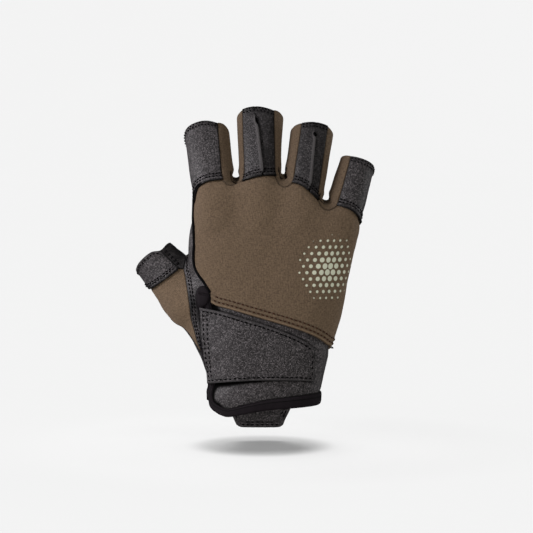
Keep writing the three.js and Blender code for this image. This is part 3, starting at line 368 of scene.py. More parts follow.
def smooth_min(a, b, blend):
    """The lesser of two distances, with a fillet: less a quarter of the blend, times the square of the share
    of the blend by which their difference falls short of it."""
    h = np.maximum(blend - np.abs(a - b), 0) / blend
    return np.minimum(a, b) - h * h * blend / 4


def smooth_max(a, b, blend):
    """The greater of two distances, as a smooth minimum with the signs turned."""
    return -smooth_min(-a, -b, blend)


class Tube:
    """A finger or a joint of the thumb: along runs from its foot to its end, side across it, and its axis
    either curls as the square of the distance along it or runs straight from foot_y to end_y."""

    def __init__(self, foot, end, foot_y, wide, deep, power, end_y=None, lean=None, skew=0.0, past=100.0):
        self.foot = np.array([foot[0], 0.0, foot[1]])
        reach = np.array([end[0] - foot[0], 0.0, end[1] - foot[1]])
        self.length = float(np.linalg.norm(reach))
        self.along = reach / self.length
        self.side = np.array([self.along[2], 0.0, -self.along[0]])
        self.power, self.past, self.skew, self.lean = power, past, skew, lean or 0.0
        stations = np.array([0, 0.5, 1]) * self.length
        self.half_width = hermite(stations, np.array(wide, float))
        self.half_depth = hermite(stations, np.array(deep, float))
        if lean is None:
            self.centre_y = lambda s: foot_y + (end_y - foot_y) * s / self.length
        else:
            self.centre_y = lambda s: foot_y + lean * np.maximum(s, 0) ** 2 / (2 * self.length)

    def coordinates(self, p):
        """Distances along, across and above the axis: the way from the foot times each of the two ways."""
        q = p - self.foot
        s = q[..., 0] * self.along[0] + q[..., 2] * self.along[2]
        return s, q[..., 0] * self.side[0] + q[..., 2] * self.side[2], p[..., 1] - self.centre_y(s)

    def distance(self, p):
        """Signed distance to the section there, cut off smoothly at the foot and past the end."""
        s, w, y = self.coordinates(p)
        round_ = section_distance(w, y, self.half_width(s), self.half_depth(s), self.power)
        return smooth_max(smooth_max(round_, -s, 4), s - self.length - self.past, 8)

    def axis(self, s):
        """Points of the axis at distances along it."""
        s = np.asarray(s, float)
        return stack(self.foot[0] + s * self.along[0], self.centre_y(s), self.foot[2] + s * self.along[2])

    def rim(self, angle):
        """Distance along the tube of its open end, skewed by the cosine of the angle and leant back by its
        sine."""
        turn = np.asarray(angle) * DEGREE
        lean_back = self.lean * self.half_depth(self.length) * np.sin(turn)
        return self.length + self.skew * np.cos(turn) - lean_back


fingers = {name: Tube(power=FINGER_ROUNDNESS, **spec) for name, spec in FINGERS.items()}
thumb_root = Tube(power=THUMB_ROUNDNESS, **THUMB["root"])
thumb_tip = Tube(power=THUMB_ROUNDNESS, **THUMB["tip"])
palm_edges = [profile(PALM, "z", edge) for edge in ("left", "right", "back", "palm")]
web_height = profile(WEB, "x", "z")
thumb_past = profile(THUMB_RIM, "angle", "past")


def palm_section(z):
    """The palm at a height: middle across, middle depth, half width and half depth."""
    left, right, back, palm = (edge(z) for edge in palm_edges)
    return (left + right) / 2, (back + palm) / 2, (right - left) / 2, (palm - back) / 2


def palm_distance(p):
    """Signed distance to the palm: a rounded section between the four outlines at that height, cut off
    smoothly by the line of the webs, which slopes with the depth."""
    x, y, z = p[..., 0], p[..., 1], p[..., 2]
    middle, depth, *half = palm_section(z)
    round_ = section_distance(x - middle, y - depth, *half, PALM_ROUNDNESS)
    return smooth_max(round_, z - web_height(x) - WEB_SLOPE * y, WEB_ROUNDING)


def hand_distance(p):
    """Smooth minimum of the palm and the four fingers."""
    spread = fingers["index"].distance(p)
    for name in ("middle", "ring", "little"):
        spread = smooth_min(spread, fingers[name].distance(p), 3)
    return smooth_min(palm_distance(p), spread, 6)


def thumb_distance(p):
    """Smooth minimum of the thumb's two joints."""
    return smooth_min(thumb_root.distance(p), thumb_tip.distance(p), 12)


def form(p):
    """The outside of the glove: negative inside, zero on the outer face of the panels. The thumb runs into
    the hand softly below and more sharply in its crotch, by a smooth step of the height."""
    foot, top, low, height = THUMB_BLEND
    blend = foot + (top - foot) * smooth_step((p[..., 2] - low) / height)
    return smooth_min(hand_distance(p), thumb_distance(p), blend)


def slope_at(p):
    """Slope of the form, by differences over a small step each way."""
    e = 0.15
    steps = np.eye(3) * e
    return np.stack([(form(p + step) - form(p - step)) / (2 * e) for step in steps], -1)


def normal_at(p):
    """The way out of the glove: the slope of the form over its length."""
    return unit(slope_at(p))


def settle(p):
    """The nearest point of the form: Newton steps down its slope."""
    for _ in range(6):
        slope = slope_at(p)
        p = p - slope * (form(p) / np.maximum(dot(slope, slope), 0.05))[..., None]
    return p


def press(start, way, body=form):
    """Where rays from inside leave the form: strides out while inside, then halves the last stride."""
    stride, reach = 1.5, 75
    shape = np.broadcast_shapes(start.shape, way.shape)
    start, way = (np.broadcast_to(a, shape).reshape(-1, 3) for a in (start, way))
    t = np.zeros(len(start))
    going = np.arange(len(start))
    for _ in range(int(reach / stride)):
        ahead = body(start[going] + (t[going] + stride)[:, None] * way[going]) < 0
        going = going[ahead]
        if not len(going):
            break
        t[going] += stride
    low, high = t, t + stride
    for _ in range(14):
        middle = (low + high) / 2
        inside = body(start + middle[:, None] * way) < 0
        low, high = np.where(inside, middle, low), np.where(inside, high, middle)
    return (start + high[:, None] * way).reshape(shape)


class Chart:
    """Two coordinates on the surface: ray() turns a place into a ray from inside, and locate() turns a point
    into its place. body is the part of the form that the ray leaves."""
    body = None

    def turned(self, y, w):
        """The angle of a way, in degrees, within half a turn of the chart's middle."""
        raw = np.arctan2(y, w) / DEGREE
        return raw + 360 * np.round((self.middle - raw) / 360)

    def put(self, place):
        """The surface point at a place of the chart."""
        if self.body is None:
            return press(*self.ray(place))
        return settle(press(*self.ray(place), self.body))


class Girth(Chart):
    """Round the palm: the girth from the middle of the back (facing -1) or of the palm (facing 1), as a flat
    stretch with half a turn at each side of it, and the height."""

    def __init__(self, facing, body=None):
        self.facing, self.body = facing, body

    @staticmethod
    def at(z):
        """Middle across, middle depth, half depth and half of the flat stretch at a height."""
        x, y, width, depth = palm_section(z)
        return x, y, depth, width - depth

    def girth(self, turn, z):
        """The girth at a turn round the side: the flat stretch and an arc of the half depth."""
        _, _, depth, flat = self.at(z)
        return flat + depth * turn * DEGREE

    def ray(self, place):
        """Straight out of the flat stretch, and then round by the girth past it over the half depth."""
        girth, z = place[..., 0], place[..., 1]
        x, y, depth, flat = self.at(z)
        sign, past = np.sign(girth), np.abs(girth) - flat
        turn = np.clip(past / depth, 0, np.pi)
        round_ = np.where(past < np.pi * depth, flat, flat - past + np.pi * depth)
        start = stack(x + np.where(past <= 0, girth, sign * round_), y, z)
        return start, stack(sign * np.sin(turn), self.facing * np.cos(turn), 0 * z)

    def locate(self, p):
        """The way across on the flat stretch, and past it the arc to the point's angle."""
        x, y, depth, flat = self.at(p[..., 2])
        sign, out = np.sign(p[..., 0] - x), np.abs(p[..., 0] - x) - flat
        ahead = self.facing * (p[..., 1] - y)
        level = np.where(ahead > 0, p[..., 0] - x, sign * (flat + np.pi * depth - out))
        return stack(np.where(out <= 0, level, sign * (flat + depth * np.arctan2(out, ahead))), p[..., 2])


class Round(Chart):
    """Round a tube: the angle from its side, kept within half a turn of middle, and the distance along it."""

    def __init__(self, tube, middle, body=None):
        self.tube, self.middle, self.body = tube, middle, body

    def ray(self, place):
        """Out of the axis, by the cosine of the angle to the side and its sine to the palm."""
        turn = place[..., 0] * DEGREE
        way = np.cos(turn)[..., None] * self.tube.side + np.sin(turn)[..., None] * np.array([0.0, 1.0, 0.0])
        return self.tube.axis(place[..., 1]), way

    def locate(self, p):
        """The point's angle about the axis and its distance along it."""
        s, w, y = self.tube.coordinates(p)
        return stack(self.turned(y, w), s)


class Bent(Chart):
    """Round the whole thumb, whose axis is one quadratic curve from the wrist to its open end."""

    def __init__(self, middle, body):
        self.middle, self.body = middle, body
        self.foot, knuckle = thumb_root.axis(0), thumb_tip.axis(0)
        self.end = thumb_tip.axis(thumb_tip.length)
        self.pull = 2 * knuckle - 0.5 * self.foot - 0.5 * self.end

    def axis(self, t):
        """The foot, the pull and the end, by the squares of one less t and of t and twice their product."""
        t = np.asarray(t)[..., None]
        return (1 - t) ** 2 * self.foot + 2 * t * (1 - t) * self.pull + t * t * self.end

    def tangent(self, t):
        """The axis's slope as seen from the back, over its length."""
        t = np.asarray(t)[..., None]
        return unit((-2 * (1 - t) * self.foot + (2 - 4 * t) * self.pull + 2 * t * self.end) * [1, 0, 1])

    def ray(self, place):
        """Out of the axis at a share of it, square to the tangent there."""
        d, turn = self.tangent(place[..., 1]), place[..., 0] * DEGREE
        way = stack(np.cos(turn) * d[..., 2], np.sin(turn), -np.cos(turn) * d[..., 0])
        return self.axis(place[..., 1]), way

    def locate(self, p):
        """The share where the way from the axis is square to the tangent, found by halving, and the angle."""
        low, high = np.full(p.shape[:-1], -0.4), np.full(p.shape[:-1], 1.3)
        for _ in range(30):
            t = (low + high) / 2
            before = dot(p - self.axis(t), self.tangent(t)) > 0
            low, high = np.where(before, t, low), np.where(before, high, t)
        d, q = self.tangent(low), p - self.axis(low)
        return stack(self.turned(q[..., 1], q[..., 0] * d[..., 2] - q[..., 2] * d[..., 0]), low)


class Space(Chart):
    """Places are points in space, which settle on the form: for surfaces that no ray reaches."""

    def locate(self, p):
        """The point itself."""
        return p

    def put(self, place):
        """The nearest point of the form."""
        return settle(place)


back_chart, palm_chart = Girth(-1), Girth(1)
hand_chart = Girth(1, hand_distance)
finger_chart = {
    "index": Round(fingers["index"], -184), "middle": Round(fingers["middle"], -90),
    "ring": Round(fingers["ring"], -90), "little": Round(fingers["little"], 8),
}
finger_palm_chart = {
    "index": Round(fingers["index"], 50), "middle": Round(fingers["middle"], 90),
    "ring": Round(fingers["ring"], 90), "little": finger_chart["little"],
}
tip_chart = Round(thumb_tip, -150)
tip_palm_chart = Round(thumb_tip, 40, thumb_distance)
thumb_back_chart, thumb_palm_chart = Bent(-150, thumb_distance), Bent(40, thumb_distance)


def seen(places, facing):
    """Points of the picture, (x, z), carried on to the back (facing -1) or the palm side (facing 1) of the
    form: the camera's ray through each starts at the deepest of the axes that lie behind it."""
    x, up = np.array(places, float).T
    up = up - VIEW_MIDDLE[1]
    at = stack(x, up * np.sin(VIEW_RISE), VIEW_MIDDLE[1] + up * np.cos(VIEW_RISE))
    way = unit(at - CAMERA)
    depths = [palm_section(at[:, 2])[1]]
    for tube in [*fingers.values(), thumb_root, thumb_tip]:
        depths.append(tube.axis(tube.coordinates(at * [1, 0, 1])[0])[..., 1])
    starts = np.stack([at + way * ((y - at[:, 1]) / way[:, 1])[:, None] for y in depths])
    best = np.argmin(form(starts), axis=0)
    return press(starts[best, np.arange(len(x))], facing * way)


def on_back(places):
    """Points of the picture on the back of the form."""
    return seen(places, -1.0)


def on_palm(places):
    """Points of the picture on the palm side, behind what shows."""
    return seen(places, 1.0)


def on_form(points):
    """A run whose ends stay and whose other points settle on the form."""
    return np.concatenate([points[:1], settle(points[1:-1]), points[-1:]])


def seam(points, counts, marks=()):
    """A seam of the back view as a smooth curve through its points on the back, cut at the marked ones."""
    return [on_form(part) for part in through(on_back(points), counts, marks)]


def run(chart, start, end, count, bow=0.0):
    """A straight run between two ends in a chart, with a bow of the second coordinate by half a sine."""
    a, b, t = chart.locate(start), chart.locate(end), shares(count)[:, None]
    place = a + (b - a) * t
    place[:, 1] += bow * np.sin(np.pi * t[:, 0])
    points = chart.put(place)
    points[0], points[-1] = start, end
    return points


def trace(chart, start, places, end, count):
    """A smooth curve through places of a chart, between two points."""
    points = chart.put(resample(np.array([chart.locate(start), *places, chart.locate(end)]), count))
    points[0], points[-1] = start, end
    return points


def patch(chart, bottom, top, left, right):
    """A patch between four edges: the inside adds the two ways of blending opposite edges in the chart and
    takes off the blend of the corners, and is brought on to the form. The edges stay as they are."""
    b, t, l, r = (chart.locate(edge) for edge in (bottom, top, left, right))
    u, v = shares(len(bottom) - 1)[None, :, None], shares(len(left) - 1)[:, None, None]
    place = (b[None] * (1 - v) + t[None] * v + l[:, None] * (1 - u) + r[:, None] * u
             - (b[0] * (1 - u) + b[-1] * u) * (1 - v) - (t[0] * (1 - u) + t[-1] * u) * v)
    grid = np.empty((len(left), len(bottom), 3))
    grid[1:-1, 1:-1] = chart.put(place[1:-1, 1:-1])
    grid[0], grid[-1], grid[:, 0], grid[:, -1] = bottom, top, left, right
    return grid


def near(points, curve):
    """Distance from each point to the nearest point of a densely sampled curve."""
    found = []
    line = np.asarray(curve, np.float32)
    for part in np.array_split(np.asarray(points, np.float32), max(1, len(points) // 4000)):
        square = (part ** 2).sum(1)[:, None] + (line ** 2).sum(1)[None] - 2 * part @ line.T
        found.append(np.sqrt(np.maximum(square.min(1), 0)))
    return np.concatenate(found)


def dense(*runs):
    """Runs of points filled in to a quarter of a millimetre, for near()."""
    return np.concatenate([resample(r, max(2, int(measure(r)[-1] / 0.25))) for r in runs])


def bell(d, width):
    """One at no distance, falling as e to the power of minus the square of the distance over the width."""
    return np.exp(-(d / width) ** 2)


def within(d, edge, softness):
    """One where d is less than edge, falling to nothing past it as a hyperbolic tangent."""
    return 0.5 - 0.5 * np.tanh((d - edge) / softness)


# Seams, each worked out once

@functools.cache
def hem(name):
    """Lower edge of the leather on a finger, from the thumb side: two runs where it has two halves."""
    counts = {"index": [STEPS["index_hem"]], "little": [STEPS["little_hem"]]}
    halves = [STEPS["left_half"], STEPS["right_half"]]
    return seam(HEMS[name], counts.get(name, halves), () if name in counts else (RIDGE_AT,))


@functools.cache
def web(first, second):
    """Back edge of the jersey strip round a web."""
    return seam(WEB_SEAMS[f"{first}_{second}"], [STEPS["web"]])[0]


def rim_points(name, start, end, count):
    """The open end of a finger between two angles: the form where the chart's ray meets the rim."""
    angle = start + (end - start) * shares(count)
    return finger_chart[name].put(stack(angle, fingers[name].rim(angle)))


def rim_point(name, angle):
    """One point of a finger's open end."""
    return rim_points(name, angle, angle, 0)[0]


@functools.cache
def back_seam(name, side):
    """A side seam or the ridge on the back of a finger, from the hem to the rim."""
    foot = {"left": hem(name)[0][0], "right": hem(name)[-1][-1], "ridge": hem(name)[0][-1]}[side]
    return run(finger_chart[name], foot, rim_point(name, SEAM_ANGLES[name][side]), STEPS["finger"])


@functools.cache
def ridge(name, half):
    """The edge of one half of the leather along the ridge: the seam line, moved towards the left by a bell at
    the slot, and on the right half by its underlap too, so that it lies behind the slot."""
    line = back_seam(name, "ridge")
    slot, chart = SLOTS[name], finger_chart[name]
    place = chart.locate(line)
    way = slot["width"] * bell(line[:, 2] - slot["z"], slot["half"][1])
    if half == "right":
        way = 1.2 * way + UNDERLAP * np.sin(np.pi * shares(len(line) - 1)) ** 0.4
    place[:, 0] -= way / fingers[name].half_width(place[:, 1]) / DEGREE
    moved = chart.put(place)
    moved[0], moved[-1] = line[0], line[-1]
    return moved


@functools.cache
def palm_seam(name, side):
    """A seam on the inner side of a finger, from the palm to the rim."""
    angles = SEAM_ANGLES[name]
    place = np.array([angles[f"palm_{side}"], angles[f"palm_{side}_foot"]], float)
    foot = finger_chart[name].put(place[None])[0]
    return run(finger_palm_chart[name], foot, rim_point(name, angles[f"palm_{side}"]), STEPS["finger"])


@functools.cache
def palm_web(first, second):
    """The palm side of a web: an arc that hangs from one seam's foot to the next by its sag."""
    start, end = palm_seam(first, "right")[0], palm_seam(second, "left")[0]
    t = shares(STEPS["web"])
    x = start[0] + (end[0] - start[0]) * (1 - np.cos(np.pi * t)) / 2
    z = start[2] + (end[2] - start[2]) * t - PALM_WEB_SAG[f"{first}_{second}"] * np.sin(np.pi * t)
    points = on_palm(np.stack([x, z], -1))
    points[0], points[-1] = start, end
    return points


def side_seam(start, end, count):
    """The seam on the little finger side, at one turn round the hand, between two heights."""
    z = start + (end - start) * shares(count)
    return back_chart.put(stack(back_chart.girth(RIGHT_SEAM_TURN, z), z))


def side_point(z):
    """One point of the little finger side."""
    return side_seam(z, z, 0)[0]


@functools.cache
def binding_path():
    """The middle of the binding as four runs of rows (x, y, z, width): round the wrist, up the palm side of
    the slit, round its end as half a circle, and down the flap side."""
    def on_chart(places, width):
        """Rows of points at places round the hand."""
        return np.column_stack([back_chart.put(places), np.broadcast_to(width, len(places))])

    edge = WRIST_EDGE
    round_wrist = np.column_stack([edge["girth"], edge["low"] + edge["width"] / 2])
    corner = np.column_stack([-back_chart.girth(WRIST_CORNER["turn"], -2.4), WRIST_CORNER["z"]])
    turns = np.array(SLIT_PALM_SIDE, float)
    palm_low = np.column_stack([-back_chart.girth(turns[:, 0], turns[:, 1]), turns[:, 1]])
    palm_high = back_chart.locate(on_back(SLIT_PALM_SIDE_ABOVE))
    turn = np.radians(np.arange(180, -1, -30))
    end = back_chart.locate(on_back([SLIT_END]))[0]
    oval = end + SLIT_END_RADIUS * np.column_stack([np.cos(turn), np.sin(turn)])
    flap = on_back(SLIT_FLAP_SIDE)
    flap_width = np.where(np.arange(len(flap)) > 5, FLAP_FOOT_WIDTH, SLIT_BINDING_WIDTH)
    flap_width[0] = SLIT_END_WIDTH
    palm_width = np.full(len(palm_low) + len(palm_high), SLIT_BINDING_WIDTH)
    palm_width[-1] = SLIT_END_WIDTH
    return [
        np.concatenate([on_chart(round_wrist, edge["width"]), on_chart(corner, WRIST_CORNER["width"])]),
        on_chart(np.concatenate([palm_low, palm_high]), palm_width),
        on_chart(oval, SLIT_END_WIDTH),
        np.column_stack([flap, flap_width]),
    ]


@functools.cache
def binding_frames():
    """Stations of the closed binding: place, way out of the glove, way towards the leather, and width."""
    path = binding_path()
    onward = [rows[0] for rows in path[1:] + path[:1]]
    rows = np.concatenate([resample(np.vstack([part, then]), n)[:-1]
                           for part, then, n in zip(path, onward, BINDING_STATIONS)])
    at = settle(rows[:, :3])
    along = unit(np.roll(at, -1, 0) - np.roll(at, 1, 0))
    out = normal_at(at)
    return at, out, unit(np.cross(out, along)), rows[:, 3]


@functools.cache
def binding_edge():
    """The whole line of the leather beside the binding, sampled densely."""
    at, _, side, width = binding_frames()
    edge = at + side * (width / 2 + SEAM_GAP / 2)[:, None]
    return dense(settle(np.concatenate([edge, edge[:1]])))


def beside_binding(start, end, count):
    """The edge of the leather beside the binding, from near one point of the loop to near another."""
    at, _, side, width = binding_frames()
    first = int(np.argmin(np.linalg.norm(at - start, axis=1)))
    last = int(np.argmin(np.linalg.norm(at - end, axis=1)))
    ids = (first + np.arange((last - first) % len(at) + 1)) % len(at)
    edge = settle(at[ids] + side[ids] * (width[ids] / 2 + SEAM_GAP / 2)[:, None])
    return settle(resample(edge, count))


def back_point(x, z):
    """One point of the picture on the back."""
    return on_back([(x, z)])[0]


@functools.cache
def back_left():
    """Left edge of the jersey back, in three runs: beside the slit's end, along the strip and above it."""
    oval = beside_binding(back_point(-33.6, 62.4), back_point(-32.7, 54.9), STEPS["oval"])[::-1]
    points = np.concatenate([oval[-1:], on_back(BACK_LEFT)])
    return [oval, *map(on_form, through(points, [STEPS["strip_edge"], STEPS["upper"]], (STRIP_TOP,)))]


@functools.cache
def little_wrap():
    """Top edge of the jersey back from the little finger round to its side."""
    return run(back_chart, hem("little")[0][-1], side_point(LITTLE_SIDE_Z), STEPS["wrap"])


@functools.cache
def back_top():
    """Top edge of the jersey back: the fingers' hems and the webs in a row, and on to the side."""
    parts = [hem("index")[0]]
    for first, second in BETWEEN:
        parts += [web(first, second), *hem(second)]
    return joined(*parts, little_wrap())


@functools.cache
def back_bottom():
    """Lower hem of the jersey back: across the back of the hand and round the little finger side."""
    front = np.concatenate([back_left()[0][:1], on_back(BACK_BOTTOM)])
    round_side = run(back_chart, front[-1], side_point(HEM_SIDE_Z), 4)
    return on_form(resample(joined(front, round_side), len(back_top()) - 1))


@functools.cache
def thumb_seam():
    """The seam between thumb and side strip, up to the corner of the brown back and on to the crotch."""
    return seam(THUMB_SEAM, [STEPS["thumb_seam"], STEPS["seam_top"]], (THUMB_BACK_TOP,))


@functools.cache
def band_foot():
    """Lower edge of the leather band, round the outer side of the thumb, at the table's distance along it."""
    angle = BAND_START + (BAND_FOOT_END - BAND_START) * shares(STEPS["band"])
    foot = tip_chart.put(stack(angle, profile(BAND_FOOT, "angle", "s")(angle)))
    foot[-1] = back_point(*THUMB_BACK_CORNER)
    return foot


def thumb_rim(start, end, count):
    """The open end of the thumb between two angles."""
    angle = start + (end - start) * shares(count)
    return press(*tip_chart.ray(stack(angle, thumb_tip.length + thumb_past(angle))), thumb_distance)


@functools.cache
def band_left():
    """The end of the band on the palm side, from its foot to the rim."""
    return run(tip_chart, band_foot()[0], thumb_rim(BAND_START, BAND_START, 0)[0], STEPS["band_rows"])


@functools.cache
def band_right():
    """The end of the band at the crotch, from its foot to the rim."""
    return run(tip_chart, band_foot()[-1], thumb_rim(BAND_END, BAND_END, 0)[0], STEPS["band_rows"])


@functools.cache
def hole():
    """The seam round the foot of the thumb on the palm side, from its wrist end to its crotch."""
    foot, crotch = thumb_seam()[0][0], thumb_seam()[1][-1]
    low = run(hand_chart, foot, on_palm([HOLE_FOOT])[0], 3)
    crease = hand_chart.put(np.array(HOLE_CREASE, float))
    points = np.concatenate([low, on_palm(HOLE_PALM_SIDE), crease, crotch[None]])
    return on_form(resample(points, STEPS["hole"]))


@functools.cache
def crotch_line():
    """The line across the inner side of the thumb, from the foot of the band to the crotch."""
    return run(thumb_palm_chart, band_foot()[0], thumb_seam()[1][-1], STEPS["crotch"], 0.09)


# The panels as patches between their seams

def to_rim(chart, name, foot, start, end, left, right):
    """A patch from a line at a finger's foot to its rim, between two seams that end there at two angles."""
    return patch(chart, foot, rim_points(name, start, end, len(foot) - 1), left, right)


def fourchette_patches(first, second):
    """A strip between its seam on the back and its seam on the palm side, whose ends swell out past the rims
    by the root of a sine."""
    front = joined(back_seam(first, "right")[::-1], web(first, second), back_seam(second, "left"))
    behind = joined(palm_seam(first, "right")[::-1], palm_web(first, second), palm_seam(second, "left"))
    a, b = SEAM_ANGLES[first], SEAM_ANGLES[second]
    start = rim_points(first, a["right"], a["palm_right"], STEPS["between"])
    end = rim_points(second, b["left"], b["palm_left"] - 360, STEPS["between"])
    swell = np.sin(np.pi * shares(STEPS["between"]))[:, None] ** 0.5
    return [patch(Space(), front, behind, settle(start + swell * LOBES[first][1] * fingers[first].along),
                  settle(end + swell * LOBES[second][0] * fingers[second].along))]


def half_panel_patches(name, half):
    """One half of the leather on the back of a finger, between its side seam and the ridge."""
    start, end, foot = ("left", "ridge", 0) if half == "left" else ("ridge", "right", 1)
    sides = [ridge(name, half) if side == "ridge" else back_seam(name, side) for side in (start, end)]
    angles = SEAM_ANGLES[name]
    return [to_rim(finger_chart[name], name, hem(name)[foot], angles[start], angles[end], *sides)]


def back_panel_patches():
    """The jersey from its left edge round to the little finger side."""
    left = joined(*back_left())
    return [patch(back_chart, back_bottom(), back_top(), left,
                  side_seam(HEM_SIDE_Z, LITTLE_SIDE_Z, len(left) - 1))]


def cuff_patches():
    """The cuff between the binding and the jersey's hem, from the slit round to the little finger side."""
    corner = back_point(-29.6, -4.8)
    foot = beside_binding(corner, side_point(-2.0), STEPS["cuff"])
    foot[-1] = side_point(foot[-1][2])
    top = on_form(resample(back_bottom(), STEPS["cuff"]))
    left = beside_binding(back_point(-32.8, 55.5), corner, STEPS["cuff_rows"])[::-1]
    left[0], left[-1] = foot[0], top[0]
    return [patch(back_chart, foot, top, left, side_seam(foot[-1][2], HEM_SIDE_Z, STEPS["cuff_rows"]))]


def thumb_band_patches():
    """The band between its foot and the rim."""
    rim = thumb_rim(BAND_START, BAND_END, STEPS["band"])
    return [patch(tip_chart, band_foot(), rim, band_left(), band_right())]


def thumb_back_patches():
    """The thumb's back as a triangle that stands on one point at the wrist."""
    foot = thumb_seam()[0][0]
    corner = on_form(resample(np.stack([band_foot()[-1], thumb_seam()[0][-1]]), STEPS["corner"]))
    top = joined(band_foot(), corner)
    outer = run(thumb_back_chart, foot, band_foot()[0], STEPS["thumb_seam"])
    return [patch(thumb_back_chart, np.repeat(foot[None], len(top), 0), top, outer, thumb_seam()[0])]


def thumb_palm_patches():
    """The thumb's inner side as a triangle up to the line across it, and the sheath above that line."""
    foot = thumb_seam()[0][0]
    corner = on_form(resample(np.stack([thumb_seam()[0][-1], band_foot()[-1]]), STEPS["corner"]))
    inner = run(thumb_palm_chart, foot, band_foot()[0], STEPS["hole"])
    across = joined(crotch_line(), thumb_seam()[1][::-1], corner)
    rim = thumb_rim(THUMB_PALM_START, BAND_END, len(across) - 1)
    return [
        patch(thumb_palm_chart, np.repeat(foot[None], len(crotch_line()), 0), crotch_line(), inner, hole()),
        patch(tip_palm_chart, across, rim, band_left(), band_right()),
    ]


def palm_leather_patches():
    """Eight patches that share their edges: the heel of the hand, the side strip, the palm, the upper palm
    and the leather of each finger."""
    line = binding_frames()[0]
    corner = line[BINDING_STATIONS[0] * 55 // 56]  # where the wrist edge turns up along the slit
    oval_start = line[BINDING_STATIONS[0] + BINDING_STATIONS[1]]
    slit = beside_binding(corner, oval_start, STEPS["slit_low"] + STEPS["slit_high"])
    oval = beside_binding(oval_start, back_point(-33.6, 62.4), STEPS["slit_end"])
    oval[0], oval[-1] = slit[-1], back_left()[1][0]
    low_left = slit[:STEPS["slit_low"] + 1]
    strip_left = joined(slit[STEPS["slit_low"]:], oval, back_left()[1])
    seam_line = joined(*thumb_seam())
    foot, crotch = seam_line[0], seam_line[-1]
    strip_foot = run(hand_chart, strip_left[0], foot, STEPS["strip"])
    strip_top = run(hand_chart, strip_left[-1], crotch, STEPS["strip"])
    palm_foot = run(hand_chart, foot, side_point(PALM_SIDE["foot"]), STEPS["palm"])
    palm_top = trace(hand_chart, crotch, PALM_TOP, side_point(PALM_SIDE["top"]), STEPS["palm"])
    wrist = beside_binding(side_point(PALM_SIDE["wrist"]), corner, STEPS["strip"] + STEPS["palm"])[::-1]
    wrist[0], wrist[-1] = low_left[0], side_point(wrist[-1][2])
    charts = {**finger_palm_chart, "index": finger_chart["index"]}
    upper, top = {}, []
    for name, chart in charts.items():
        start = hem(name)[0][0] if name == "index" else palm_seam(name, "left")[0]
        end = side_point(LITTLE_SIDE_Z) if name == "little" else palm_seam(name, "right")[0]
        upper[name] = run(chart, start, end, STEPS[f"{name}_palm"])
        top += [upper[name], *[palm_web(*pair) for pair in BETWEEN if pair[0] == name]]
    top = joined(*top)
    index_foot = joined(hem("index")[0][::-1], upper["index"])
    little_foot = joined(upper["little"], little_wrap()[::-1], hem("little")[0][::-1])
    index, little = SEAM_ANGLES["index"], SEAM_ANGLES["little"]
    inner = [to_rim(charts[name], name, upper[name], SEAM_ANGLES[name]["palm_left"],
                    SEAM_ANGLES[name]["palm_right"], palm_seam(name, "left"), palm_seam(name, "right"))
             for name in ("middle", "ring")]
    return [
        patch(hand_chart, wrist, joined(strip_foot, palm_foot), low_left,
              side_seam(wrist[-1][2], PALM_SIDE["foot"], len(low_left) - 1)),
        patch(hand_chart, strip_foot, strip_top, strip_left, seam_line),
        patch(hand_chart, palm_foot, palm_top, hole(),
              side_seam(PALM_SIDE["foot"], PALM_SIDE["top"], len(hole()) - 1)),
        patch(hand_chart, joined(strip_top, palm_top), top, back_left()[2],
              side_seam(PALM_SIDE["top"], LITTLE_SIDE_Z, len(back_left()[2]) - 1)),
        to_rim(charts["index"], "index", index_foot, index["right"], index["palm_right"] - 360,
               back_seam("index", "right"), palm_seam("index", "right")),
        *inner,
        to_rim(charts["little"], "little", little_foot, little["palm_left"], little["left"],
               palm_seam("little", "left"), back_seam("little", "left")),
    ]


@functools.cache
def strap_lines():
    """The lower and the upper edge of the strap, from the slit towards its free end."""
    return [on_form(resample(on_back(line), STEPS["strap"])) for line in (STRAP_FOOT, STRAP_TOP)]


def strap_patches():
    """The strap between its lower and its upper edge."""
    foot, top = strap_lines()
    left = on_form(resample(np.concatenate([foot[:1], on_back(STRAP_END[1:-1]), top[:1]]),
                            STEPS["strap_rows"]))
    right = run(back_chart, foot[-1], top[-1], STEPS["strap_rows"])
    return [patch(back_chart, foot, top, left, right)]


def tab_patches():
    """The tab on the palm side, from its lower edge up to where the leather hides it."""
    foot, top = (on_form(resample(on_palm(line), STEPS["tab"])) for line in (TAB_FOOT, TAB_TOP))
    left, right = (on_form(resample(np.concatenate([foot[[k]], on_palm(line), top[[k]]]), STEPS["tab_rows"]))
                   for k, line in ((0, TAB_LEFT), (-1, TAB_RIGHT)))
    return [patch(palm_chart, foot, top, left, right)]


# Meshes

def merged(grids):
    """Points and triangles of patches that share edges: like points become one, each patch is turned so that
    it faces out as a whole, and triangles with no area are dropped."""
    points = np.concatenate([grid.reshape(-1, 3) for grid in grids])
    _, first, ids = np.unique(np.round(points, 3), axis=0, return_index=True, return_inverse=True)
    ids = ids.reshape(-1)
    points = points[first]
    normals = normal_at(points)
    triangles, offset = [], 0
    for grid in grids:
        rows, cols = grid.shape[:2]
        cell = ids[offset:offset + rows * cols].reshape(rows, cols)
        a, b, c, d = cell[:-1, :-1], cell[:-1, 1:], cell[1:, 1:], cell[1:, :-1]
        facing = dot(np.cross(points[c] - points[a], points[d] - points[b]), normals[a]).sum()
        pair = [(a, b, c), (a, c, d)] if facing > 0 else [(a, c, b), (a, d, c)]
        triangles += [np.stack(corner, -1).reshape(-1, 3) for corner in pair]
        offset += rows * cols
    triangles = np.concatenate(triangles)
    keep = ((triangles[:, 0] != triangles[:, 1]) & (triangles[:, 1] != triangles[:, 2])
            & (triangles[:, 2] != triangles[:, 0]))
    return points, normals, triangles[keep]


def free_edges(triangles, count):
    """Directed edges that only one triangle has."""
    start, end = triangles.reshape(-1), np.roll(triangles, -1, axis=1).reshape(-1)
    alone = ~np.isin(start * count + end, end * count + start)
    return start[alone], end[alone]


